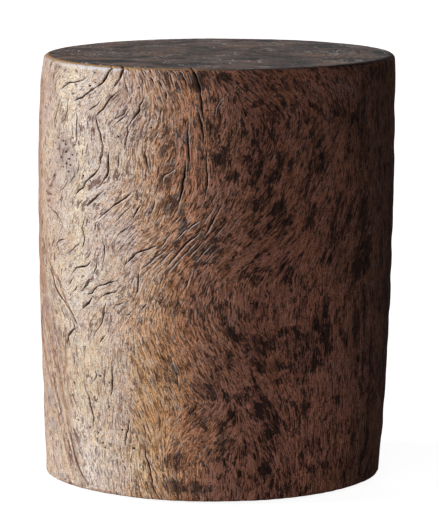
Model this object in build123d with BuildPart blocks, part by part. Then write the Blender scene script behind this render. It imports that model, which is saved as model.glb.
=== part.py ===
"""Teak pedestal stool: one hewn block of teak root on four nail-on glides.

Millimetres, +Z up. The origin is on the floor, at the centre of the stool's outline.
The front, which the long drying check runs down from the rim, faces -Y.
"""
import os
from math import cos, hypot, radians, sin

from build123d import *

# The block
overall_height = 457.0
overall_width = 384.6
overall_depth = 380.0
rim_radius = 5.0
foot_radius = 2.5

# The nail-on glides under the block
glide_height = 3.0
glide_diameter = 24.0
glide_edge_chamfer = 1.0
glide_inset = 42.0
glide_azimuths = {
    "glide_front_left": -45,
    "glide_front_right": 45,
    "glide_back_right": 135,
    "glide_back_left": -135,
}

# The nails that hold the glides
nail_shank_diameter = 2.4
nail_length = 20.0
nail_point_length = 3.5
nail_head_diameter = 7.0
nail_head_thickness = 1.0
nail_head_recess = 0.5
nail_clearance = 0.05

# The drying checks
check_width = 3.0
check_depth = 9.0
check_overrun = 8.0
check_root_share = 0.12

# The block's outline at each height: how high the station is, as a share of the block's height,
# and how far the wall stands out to the left, right, front and back, as shares of half the
# overall width or depth. The block is fullest above its middle, draws in towards the foot,
# most of all on the right, and rolls in at the top on the left.
station_shares = [
    (0.000, 0.966, 0.917, 0.944, 0.940),
    (0.045, 0.969, 0.926, 0.955, 0.952),
    (0.117, 0.974, 0.943, 0.969, 0.966),
    (0.262, 0.985, 0.962, 0.984, 0.981),
    (0.407, 0.995, 0.979, 0.994, 0.993),
    (0.588, 1.000, 0.990, 1.000, 1.000),
    (0.769, 0.998, 0.998, 1.000, 0.998),
    (0.875, 0.992, 0.998, 0.998, 0.995),
    (0.947, 0.981, 1.000, 0.995, 0.990),
    (1.000, 0.966, 0.996, 0.990, 0.984),
]
outline_point_count = 16
band_count = 16
hewn_flat_share = 0.007
rounding_turns = (0, 30, 60, 90)

# The checks that opened in the block as it dried. Each row gives the width and the depth, as
# shares of the largest check's, and the line that the check follows: azimuths in degrees from
# the front towards the right, and heights as shares of the overall height. A line that starts
# above 1 or ends below 0 breaks through the rim or the foot.
check_lines_shares = [
    (1.00, 1.00, [(-8.4, 1.020), (-7.2, 0.995), (-6.0, 0.980), (-5.1, 0.954), (-4.2, 0.900), (-3.8, 0.825)]),
    (0.80, 0.80, [(-8.9, 0.860), (-8.7, 0.829), (-8.1, 0.779), (-10.3, 0.751), (-11.5, 0.695), (-12, 0.675)]),
    (0.90, 0.80, [(-31.0, 1.015), (-31.3, 0.990), (-31.8, 0.970), (-34.9, 0.944)]),
    (0.80, 0.70, [(-34.2, 1.015), (-36.0, 0.985), (-38.5, 0.960), (-44.4, 0.935), (-51.5, 0.912)]),
    (0.80, 0.80, [(-32.2, 0.943), (-35.9, 0.919), (-40.7, 0.886), (-39.8, 0.853), (-37.8, 0.816)]),
    (0.70, 0.70, [(-37.9, 0.803), (-39.4, 0.762), (-42.4, 0.744), (-46.5, 0.718)]),
    (0.70, 0.70, [(-35.2, 0.812), (-35.6, 0.790), (-36.2, 0.752), (-41.0, 0.724)]),
    (0.80, 0.70, [(-26.5, 0.722), (-29.9, 0.701), (-36.4, 0.672), (-40.1, 0.649)]),
    (0.70, 0.60, [(-23.0, 0.935), (-25.6, 0.902), (-29.1, 0.872), (-29.6, 0.840)]),
    (0.80, 0.60, [(-32.0, 0.512), (-36.5, 0.503), (-41.8, 0.491), (-46.5, 0.474)]),
    (0.70, 0.60, [(-42.8, 0.470), (-44.8, 0.455), (-48.1, 0.437)]),
    (0.70, 0.60, [(-38.0, 0.450), (-39.6, 0.425), (-42.4, 0.385)]),
    (0.80, 0.60, [(-52.8, 0.402), (-52.2, 0.385), (-55.3, 0.362), (-57.8, 0.338)]),
    (0.70, 0.60, [(-18.4, 0.060), (-17.4, 0.040), (-15.3, 0.012), (-14.6, -0.010)]),
    (0.90, 0.60, [(-74.5, 0.635), (-72.6, 0.620), (-70.4, 0.611), (-70.9, 0.603)]),
    (0.90, 0.90, [(104.0, 1.015), (103.0, 0.975), (101.5, 0.930), (103.5, 0.860)]),
    (0.80, 0.80, [(151.0, 1.015), (152.0, 0.980), (150.0, 0.930), (147.0, 0.880), (148.0, 0.810)]),
    (0.80, 0.70, [(171.0, 0.560), (173.5, 0.500), (172.0, 0.440), (175.0, 0.370)]),
    (0.90, 0.80, [(-140.0, 1.015), (-138.5, 0.975), (-141.0, 0.920), (-139.0, 0.860)]),
    (0.80, 0.80, [(-117.0, 0.240), (-118.5, 0.160), (-116.0, 0.080), (-117.0, -0.015)]),
    (0.80, 0.70, [(128.0, 0.190), (126.5, 0.120), (128.5, 0.060), (127.5, -0.015)]),
]

block_height = overall_height - glide_height
half_width = overall_width / 2
half_depth = overall_depth / 2


def wall_point(azimuth, station):
    """The wall's place (x, y) at an azimuth, in degrees, of one station of the block.

    Each quarter is a quarter of an ellipse between the station's reaches, and the hewn flats
    draw the wall in a little between the quarters.
    """
    left, right, front, back = station[1:]
    across = half_width * (right if sin(radians(azimuth)) > 0 else left)
    along = half_depth * (front if cos(radians(azimuth)) > 0 else back)
    drawn_in = 1 - hewn_flat_share * sin(2 * radians(azimuth)) ** 2
    return across * drawn_in * sin(radians(azimuth)), -along * drawn_in * cos(radians(azimuth))


def station_at(height):
    """The station at a height above the floor, in line between the two beside it."""
    share = (height - glide_height) / block_height
    share = min(max(share, station_shares[0][0]), station_shares[-1][0])
    for low, high in zip(station_shares, station_shares[1:]):
        if share <= high[0]:
            part = (share - low[0]) / (high[0] - low[0])
            return [a + part * (b - a) for a, b in zip(low, high)]


def wall_reach(azimuth, height):
    """How far the wall is from the upright axis, at an azimuth and a height."""
    return hypot(*wall_point(azimuth, station_at(height)))


def outline(height, inset):
    """The block's outline at a height, drawn in by an inset, as a list of points."""
    station = station_at(height)
    walls = [wall_point(360 * step / outline_point_count, station) for step in range(outline_point_count)]
    kept_shares = [1 - inset / hypot(x, y) for x, y in walls]
    return [(kept * x, kept * y) for kept, (x, y) in zip(kept_shares, walls)]


def outline_places():
    """The height and the inset of each outline, from the foot's rounding up over the rim's."""
    rounding = [(1 - sin(radians(turn)), 1 - cos(radians(turn))) for turn in rounding_turns]
    foot = [(glide_height + foot_radius * rise, foot_radius * inset) for rise, inset in reversed(rounding)]
    rim = [(overall_height - rim_radius * fall, rim_radius * inset) for fall, inset in rounding]
    wall = [(glide_height + block_height * band / band_count, 0) for band in range(1, band_count)]
    return foot + wall + rim


def check_plane(azimuth, reach):
    """An upright plane square to the azimuth, at a reach from the axis, that faces outwards."""
    turn = radians(azimuth)
    return Plane(
        origin=(reach * sin(turn), -reach * cos(turn), 0),
        x_dir=(cos(turn), sin(turn), 0),
        z_dir=(sin(turn), -cos(turn), 0),
    )


def check_outline(line, middle_azimuth, width):
    """The two sides of a check, pointed at both ends, as lists of points on its plane."""
    centre = []
    for azimuth, height_share in line:
        height = height_share * overall_height
        centre.append((wall_reach(azimuth, height) * sin(radians(azimuth - middle_azimuth)), height))
    near, far = [centre[0]], [centre[0]]
    for before, here, after in zip(centre, centre[1:], centre[2:]):
        run, rise = after[0] - before[0], after[1] - before[1]
        across, up = rise / hypot(run, rise), -run / hypot(run, rise)
        near.append((here[0] + across * width / 2, here[1] + up * width / 2))
        far.append((here[0] - across * width / 2, here[1] - up * width / 2))
    return near + [centre[-1]], far + [centre[-1]]


def glide_place(azimuth):
    """The centre of a glide (x, y), on a circle set in from the block's narrowest side."""
    circle = half_width * min(station_shares[0][1:]) - glide_inset
    return circle * sin(radians(azimuth)), -circle * cos(radians(azimuth))


os.makedirs("parts", exist_ok=True)

# The block: straight bands from outline to outline, as hewing leaves it, with a blind pilot hole
# for each nail, and the drying checks, each a ragged wedge that narrows from mouth to root
web_thickness = glide_height - nail_head_recess - nail_head_thickness
pilot_depth = nail_length - web_thickness + nail_clearance
check_wedges = []
with BuildPart() as trunk:
    for height, inset in outline_places():
        with BuildSketch(Plane.XY.offset(height)):
            with BuildLine():
                Spline(*outline(height, inset), periodic=True)
            make_face()
    loft(ruled=True)
    for azimuth in glide_azimuths.values():
        with Locations(Plane(origin=(*glide_place(azimuth), glide_height), z_dir=(0, 0, -1))):
            Hole(radius=nail_shank_diameter / 2 + nail_clearance, depth=pilot_depth)
    for width_share, depth_share, line in check_lines_shares:
        middle_azimuth = (line[0][0] + line[-1][0]) / 2
        middle_height = overall_height * (line[0][1] + line[-1][1]) / 2
        reach = wall_reach(middle_azimuth, middle_height)
        mouth = check_plane(middle_azimuth, reach + check_overrun)
        root = check_plane(middle_azimuth, reach - check_depth * depth_share)
        for plane, width in ((mouth, check_width), (root, check_width * check_root_share)):
            near, far = check_outline(line, middle_azimuth, width * width_share)
            with BuildSketch(plane):
                with BuildLine():
                    Polyline(*near)
                    Polyline(*far)
                make_face()
        check_wedges.append(loft(ruled=True, mode=Mode.PRIVATE))
    add(check_wedges, mode=Mode.SUBTRACT)
trunk.part.label = "trunk"
export_step(trunk.part, "parts/trunk.step")

# The four glides: nylon discs with a chamfered tread and a recess that the nail's head sits in
for name, azimuth in glide_azimuths.items():
    x, y = glide_place(azimuth)
    with BuildPart() as glide:
        with BuildSketch():
            with Locations((x, y)):
                Circle(glide_diameter / 2)
        extrude(amount=glide_height)
        chamfer(glide.faces().sort_by(Axis.Z)[0].edges(), length=glide_edge_chamfer)
        with Locations(Plane(origin=(x, y, 0), z_dir=(0, 0, -1))):
            CounterBoreHole(
                radius=nail_shank_diameter / 2 + nail_clearance,
                counter_bore_radius=nail_head_diameter / 2 + nail_clearance,
                counter_bore_depth=nail_head_recess + nail_head_thickness,
            )
    glide.part.label = name
    export_step(glide.part, f"parts/{name}.step")

# The four nails: a flat head in each glide's recess and a pointed shank up into the block
head_top = nail_head_recess + nail_head_thickness
nail_tip = head_top + nail_length
with BuildPart() as glide_nails:
    for azimuth in glide_azimuths.values():
        x, y = glide_place(azimuth)
        with BuildSketch(Plane(origin=(x, y, 0), x_dir=(1, 0, 0), z_dir=(0, -1, 0))):
            with BuildLine():
                Polyline(
                    (0, nail_head_recess),
                    (nail_head_diameter / 2, nail_head_recess),
                    (nail_head_diameter / 2, head_top),
                    (nail_shank_diameter / 2, head_top),
                    (nail_shank_diameter / 2, nail_tip - nail_point_length),
                    (0, nail_tip),
                    close=True,
                )
            make_face()
        revolve(axis=Axis((x, y, 0), (0, 0, 1)))
glide_nails.part.label = "glide_nails"
export_step(glide_nails.part, "parts/glide_nails.step")
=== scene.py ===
"""Looks of the teak pedestal stool: one hewn, weathered block of old teak on four nylon glides.

Sizes are in metres and angles in radians, unless a name says millimetres or degrees. Pixels are
places in the photograph's frame of 439 by 518, counted from its upper left corner. A place on the
unrolled wall is an azimuth times the mean radius, and a way up, in millimetres.
"""

import sys
import logging
from dataclasses import dataclass, field
from enum import Enum
from math import cos, pi, radians, sin
from typing import ClassVar

import bpy
import numpy as np
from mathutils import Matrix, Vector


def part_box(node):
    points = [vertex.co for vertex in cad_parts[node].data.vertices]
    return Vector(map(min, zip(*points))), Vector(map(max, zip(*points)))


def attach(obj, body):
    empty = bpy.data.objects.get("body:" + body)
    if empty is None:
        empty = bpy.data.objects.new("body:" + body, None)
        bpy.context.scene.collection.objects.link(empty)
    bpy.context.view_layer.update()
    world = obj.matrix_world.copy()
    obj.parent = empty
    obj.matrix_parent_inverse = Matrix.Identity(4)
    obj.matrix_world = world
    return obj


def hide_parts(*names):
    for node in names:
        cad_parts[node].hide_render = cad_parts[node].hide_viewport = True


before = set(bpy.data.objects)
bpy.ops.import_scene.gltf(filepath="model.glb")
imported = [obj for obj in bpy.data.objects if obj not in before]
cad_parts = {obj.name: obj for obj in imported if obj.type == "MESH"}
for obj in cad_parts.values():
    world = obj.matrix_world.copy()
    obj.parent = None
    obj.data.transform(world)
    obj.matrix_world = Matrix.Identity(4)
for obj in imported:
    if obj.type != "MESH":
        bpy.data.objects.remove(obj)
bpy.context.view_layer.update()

MILLIMETRE = 0.001
Colour = tuple[float, float, float]
log = logging.getLogger("stool")


class Side(Enum):
    """Which part of the photographed wall a stain colours."""

    DARK = 0
    GREY = 1
    BROWN = 2


def show(name: str, data: bpy.types.ID) -> bpy.types.Object:
    """Adds a mesh, a lamp or a camera to the scene as an object.

    Args:
        name: Its name.
        data: The mesh, the lamp or the camera.

    Returns:
        The object.
    """
    made = bpy.data.objects.new(name, data)
    bpy.context.scene.collection.objects.link(made)
    return made


@dataclass(frozen=True)
class PhotoCamera:
    """The camera at the photograph's angle, solved from the block's outline in the picture."""

    frame_width: float = 439.0
    frame_height: float = 518.0
    focal_pixels: float = 3714.63
    across: float = 0.0032
    distance: float = 3.9712
    height: float = 0.8219
    pitch: float = 0.14716
    sensor: float = 36.0

    def eye(self) -> np.ndarray:
        """The camera's place."""
        return np.array([self.across, -self.distance, self.height])

    def rays(self, pixels: np.ndarray) -> np.ndarray:
        """The direction that each pixel looks in.

        It is the camera's forward direction, plus its sideways and downward ones times the
        pixel's distance from the middle of the frame over the focal length.

        Args:
            pixels: The pixels, one row each.

        Returns:
            The directions, one row each.
        """
        sideways = (pixels[:, :1] - self.frame_width / 2) / self.focal_pixels
        downward = (pixels[:, 1:] - self.frame_height / 2) / self.focal_pixels
        forward = np.array([0.0, cos(self.pitch), -sin(self.pitch)])
        down = np.array([0.0, -sin(self.pitch), -cos(self.pitch)])
        return forward + sideways * np.array([1.0, 0.0, 0.0]) + downward * down

    def pixels(self, points: np.ndarray) -> np.ndarray:
        """The pixels that show points: where their rays cut the frame.

        Args:
            points: The points, one row each.

        Returns:
            The pixels, one row each.
        """
        offset = points - self.eye()
        depth = offset[:, 1] * cos(self.pitch) - offset[:, 2] * sin(self.pitch)
        down = -offset[:, 1] * sin(self.pitch) - offset[:, 2] * cos(self.pitch)
        frame_middle = (self.frame_width / 2, self.frame_height / 2)
        return frame_middle + self.focal_pixels * np.stack([offset[:, 0], down], axis=-1) / depth[:, None]

    def set_up(self) -> None:
        """Adds the camera to the scene and looks through it."""
        data = bpy.data.cameras.new("photo_camera")
        data.sensor_width = self.sensor
        data.lens = self.sensor * self.focal_pixels / self.frame_height
        data.clip_end = 100.0
        camera = show("photo_camera", data)
        camera.location = tuple(self.eye())
        camera.rotation_euler = (pi / 2 - self.pitch, 0.0, 0.0)
        bpy.context.scene.camera = camera


@dataclass
class BlockShape:
    """The block's form: a leaning barrel of four quarter ellipses with hewn flats and round edges.

    A place on it is an azimuth, from the front towards the right, and a way up: the length along
    the profile from the underside's edge, over the foot, the wall and the rim. The way is below
    nothing on the underside and runs on past the rim towards the middle of the top.
    """

    low: tuple[float, float, float]
    high: tuple[float, float, float]
    rim_radius: float = 0.005
    foot_radius: float = 0.0025
    hewn_flat_share: float = 0.007
    mean_radius: float = 0.188
    flat_radius: float = 0.18
    # How far outside the block the search for a pixel's place starts, in mean radii, and its steps
    search_reach: float = 1.3
    search_steps: int = 36
    height_shares: tuple[float, ...] = (0, 0.045, 0.117, 0.262, 0.407, 0.588, 0.769, 0.875, 0.947, 1)
    left_shares: tuple[float, ...] = (0.966, 0.969, 0.974, 0.985, 0.995, 1, 0.998, 0.992, 0.981, 0.966)
    right_shares: tuple[float, ...] = (0.917, 0.926, 0.943, 0.962, 0.979, 0.990, 0.998, 0.998, 1, 0.996)
    front_shares: tuple[float, ...] = (0.944, 0.955, 0.969, 0.984, 0.994, 1, 1, 0.998, 0.995, 0.990)
    back_shares: tuple[float, ...] = (0.940, 0.952, 0.966, 0.981, 0.993, 1, 0.998, 0.995, 0.990, 0.984)

    def __post_init__(self) -> None:
        """Finds the ends' heights, and the ways up to the wall, the rim's rounding and the top."""
        self.foot: float = self.low[2]
        self.top: float = self.high[2]
        self.foot_way: float = self.foot_radius * pi / 2
        self.rim_way: float = self.foot_way + self.top - self.rim_radius - self.foot - self.foot_radius
        self.top_way: float = self.rim_way + self.rim_radius * pi / 2

    def half_axes(self, azimuth: np.ndarray, height: np.ndarray) -> tuple[np.ndarray, np.ndarray]:
        """The ellipse's half axes, across and along, at each azimuth and height.

        Args:
            azimuth: The azimuths.
            height: The heights.

        Returns:
            The half axes across, and those along.
        """
        share = (height - self.foot) / (self.top - self.foot)
        sides = (self.left_shares, self.right_shares, self.front_shares, self.back_shares)
        left, right, front, back = (np.interp(share, self.height_shares, shares) for shares in sides)
        across = (self.high[0] - self.low[0]) / 2 * np.where(np.sin(azimuth) > 0, right, left)
        return across, (self.high[1] - self.low[1]) / 2 * np.where(np.cos(azimuth) > 0, front, back)

    def hewn(self, azimuth: np.ndarray) -> np.ndarray:
        """The share of the ellipse that the flats between the quarters leave."""
        return 1 - self.hewn_flat_share * np.sin(2 * azimuth) ** 2

    def place(self, azimuth: np.ndarray, way: np.ndarray, inset: np.ndarray) -> np.ndarray:
        """The points of the surface.

        The way is shared out in turn to the underside, the foot's quarter circle, the upright
        wall, the rim's quarter circle and the top. Each point is then moved by its inset, against
        the outward direction there, which tilts from downwards to upwards along the profile.

        Args:
            azimuth: The azimuths.
            way: The ways up.
            inset: How far each point lies below the full form.

        Returns:
            The points, one row each.
        """
        quarter = pi / 2
        foot_turn = np.clip(way / self.foot_radius, 0, quarter)
        rise = np.clip(way - self.foot_way, 0, self.rim_way - self.foot_way)
        rim_turn = np.clip((way - self.rim_way) / self.rim_radius, 0, quarter)
        kept = 1 - (np.maximum(-way, 0) + np.maximum(way - self.top_way, 0)) / self.flat_radius
        drawn_in = self.foot_radius * (1 - np.sin(foot_turn)) + self.rim_radius * (1 - np.cos(rim_turn))
        height = self.foot + self.foot_radius * (1 - np.cos(foot_turn)) + rise
        height = height + self.rim_radius * np.sin(rim_turn)
        tilt = foot_turn - quarter + rim_turn
        across, along = self.half_axes(azimuth, height)
        x, y = across * self.hewn(azimuth) * np.sin(azimuth), -along * self.hewn(azimuth) * np.cos(azimuth)
        reach = np.hypot(x, y)
        scale = ((reach - drawn_in) * np.clip(kept, 0, 1) - inset * np.cos(tilt)) / reach
        return np.stack([x * scale, y * scale, height - inset * np.sin(tilt)], axis=-1)

    def nearness(self, point: np.ndarray) -> tuple[np.ndarray, np.ndarray]:
        """The share of the wall's reach that points lie at, and their azimuths.

        Args:
            point: The points, one row each.

        Returns:
            The shares, which are over one outside the block, and the azimuths.
        """
        rough = np.arctan2(point[:, 0], -point[:, 1])
        across, along = self.half_axes(rough, np.clip(point[:, 2], self.foot, self.top))
        azimuth = np.arctan2(point[:, 0] / across, -point[:, 1] / along)
        return np.hypot(point[:, 0] / across, point[:, 1] / along) / self.hewn(azimuth), azimuth

    def meet(self, camera: PhotoCamera, pixels: np.ndarray) -> np.ndarray:
        """Where the pixels of the photograph lie on the block.

        A ray that passes the top face inside its outline lies there. Any other is followed from
        outside the block to its nearest point to the axis, and the stretch is halved until the
        wall is found.

        Args:
            camera: The photograph's camera.
            pixels: The pixels, one row each.

        Returns:
            The places on the unrolled wall, one row each.
        """
        eye, rays = camera.eye(), camera.rays(pixels)
        top_share, top_azimuth = self.nearness(eye + rays * ((self.top - eye[2]) / rays[:, 2])[:, None])
        squared = (rays[:, :2] ** 2).sum(axis=1)
        far = -(rays[:, :2] @ eye[:2]) / squared
        near = far - self.mean_radius * self.search_reach / np.sqrt(squared)
        for _ in range(self.search_steps):
            middle = (near + far) / 2
            outside = self.nearness(eye + rays * middle[:, None])[0] > 1
            near, far = np.where(outside, middle, near), np.where(outside, far, middle)
        on_wall = eye + rays * far[:, None]
        height = on_wall[:, 2]
        rounded = np.clip((height - self.top + self.rim_radius) / self.rim_radius, 0, 1)
        straight = np.minimum(height, self.top - self.rim_radius) - self.foot - self.foot_radius
        wall_way = self.foot_way + straight + self.rim_radius * np.arcsin(rounded)
        top_way = self.top_way + np.maximum((1 - top_share) * self.mean_radius - self.rim_radius, 0)
        azimuth = np.where(top_share < 1, top_azimuth, self.nearness(on_wall)[1])
        way = np.where(top_share < 1, top_way, wall_way)
        return np.stack([azimuth * self.mean_radius, way], axis=-1) / MILLIMETRE


def resampled(points: np.ndarray, step: float) -> np.ndarray:
    """The points of a line at even steps along it.

    Args:
        points: The line's points, one row each.
        step: About how long a step is.

    Returns:
        The new points, one row each.
    """
    lengths = np.concatenate([[0], np.cumsum(np.hypot(*np.diff(points, axis=0).T))])
    stops = np.linspace(0, lengths[-1], max(int(lengths[-1] / step), 1) + 1)
    return np.stack([np.interp(stops, lengths, column) for column in points.T], axis=-1)


def smooth_step(value: np.ndarray, low: float, high: float) -> np.ndarray:
    """Nothing below the low value, one above the high one, with a soft change between."""
    share = np.clip((value - low) / (high - low), 0, 1)
    return share * share * (3 - 2 * share)


@dataclass(frozen=True)
class Raggedness:
    """How a check strays from the line that it was read as, in millimetres.

    Each wave has its size and the length of a radian. Two of them sway the run, and two the width.
    """

    step: float = 1.0
    waves: tuple[tuple[float, float], ...] = ((0.22, 1.7), (0.3, 4.1), (0.14, 2.3), (0.16, 7.0))
    calm_end: float = 6.0
    taper: float = 14.0
    taper_power: float = 0.6
    mean_share: float = 0.78
    least_half_width: float = 0.24
    half_width_share: float = 0.36


@dataclass
class CheckLine:
    """A check laid out on the unrolled wall, from its lower end up, and how pale its right lip is."""

    points: np.ndarray
    half_width: np.ndarray
    pale: float
    ragged: ClassVar[Raggedness] = Raggedness()

    @classmethod
    def along(cls, points: np.ndarray, width: float, pale: float, seed: int) -> "CheckLine":
        """A check along a line, ragged in its run and width and drawn out thin at both ends.

        Its run sways by waves of two lengths across it. Its half width grows with the width, by
        a root of the distance from the nearer end, times a swaying share.

        Args:
            points: The line's points.
            width: The greatest width.
            pale: How pale the right lip is, from nothing to one.
            seed: What the sway starts from.

        Returns:
            The check.
        """
        ragged = cls.ragged
        points = resampled(points[::-1] if points[0, 1] > points[-1, 1] else points, ragged.step)
        count = len(points)
        steps = np.arange(count)
        phases = np.random.default_rng(seed).uniform(0, 2 * np.pi, len(ragged.waves))
        waves = [size * np.sin(steps / length + phase) for (size, length), phase in zip(ragged.waves, phases)]
        from_end = np.minimum(steps, steps[::-1])
        sway = (waves[0] + waves[1]) * np.minimum(from_end / ragged.calm_end, 1)
        points = points + np.stack([sway, np.zeros(count)], axis=-1)
        taper = np.minimum(from_end / min(ragged.taper, count / 2), 1) ** ragged.taper_power
        uneven = ragged.mean_share + waves[2] + waves[3]
        half_width = (ragged.least_half_width + ragged.half_width_share * width) * taper * uneven
        return cls(points, half_width, pale)

    def nearest(self, places: np.ndarray) -> tuple[np.ndarray, np.ndarray]:
        """How far places lie from the check, to its left or right, and its half width there.

        Args:
            places: Places on the unrolled wall, one row each.

        Returns:
            The distances, above nothing on the right, and the half widths.
        """
        start, end = self.points[:-1], self.points[1:]
        run = end - start
        share = ((places[:, None] - start) * run).sum(-1) / (run**2).sum(-1)
        kept = np.clip(share, 0, 1)
        gap = places[:, None] - start - kept[..., None] * run
        distance = np.hypot(gap[..., 0], gap[..., 1])
        chosen = distance.argmin(axis=1)
        rows = np.arange(len(places))
        turn = run[chosen, 0] * gap[rows, chosen, 1] - run[chosen, 1] * gap[rows, chosen, 0]
        widening = self.half_width[chosen + 1] - self.half_width[chosen]
        half_width = self.half_width[chosen] + kept[rows, chosen] * widening
        past_end = ((chosen == 0) & (share[:, 0] < 0)) | ((chosen == len(run) - 1) & (share[:, -1] > 1))
        half_width = np.where(past_end, -distance[rows, chosen], half_width)
        return np.where(turn < 0, 1.0, -1.0) * distance[rows, chosen], half_width


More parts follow.
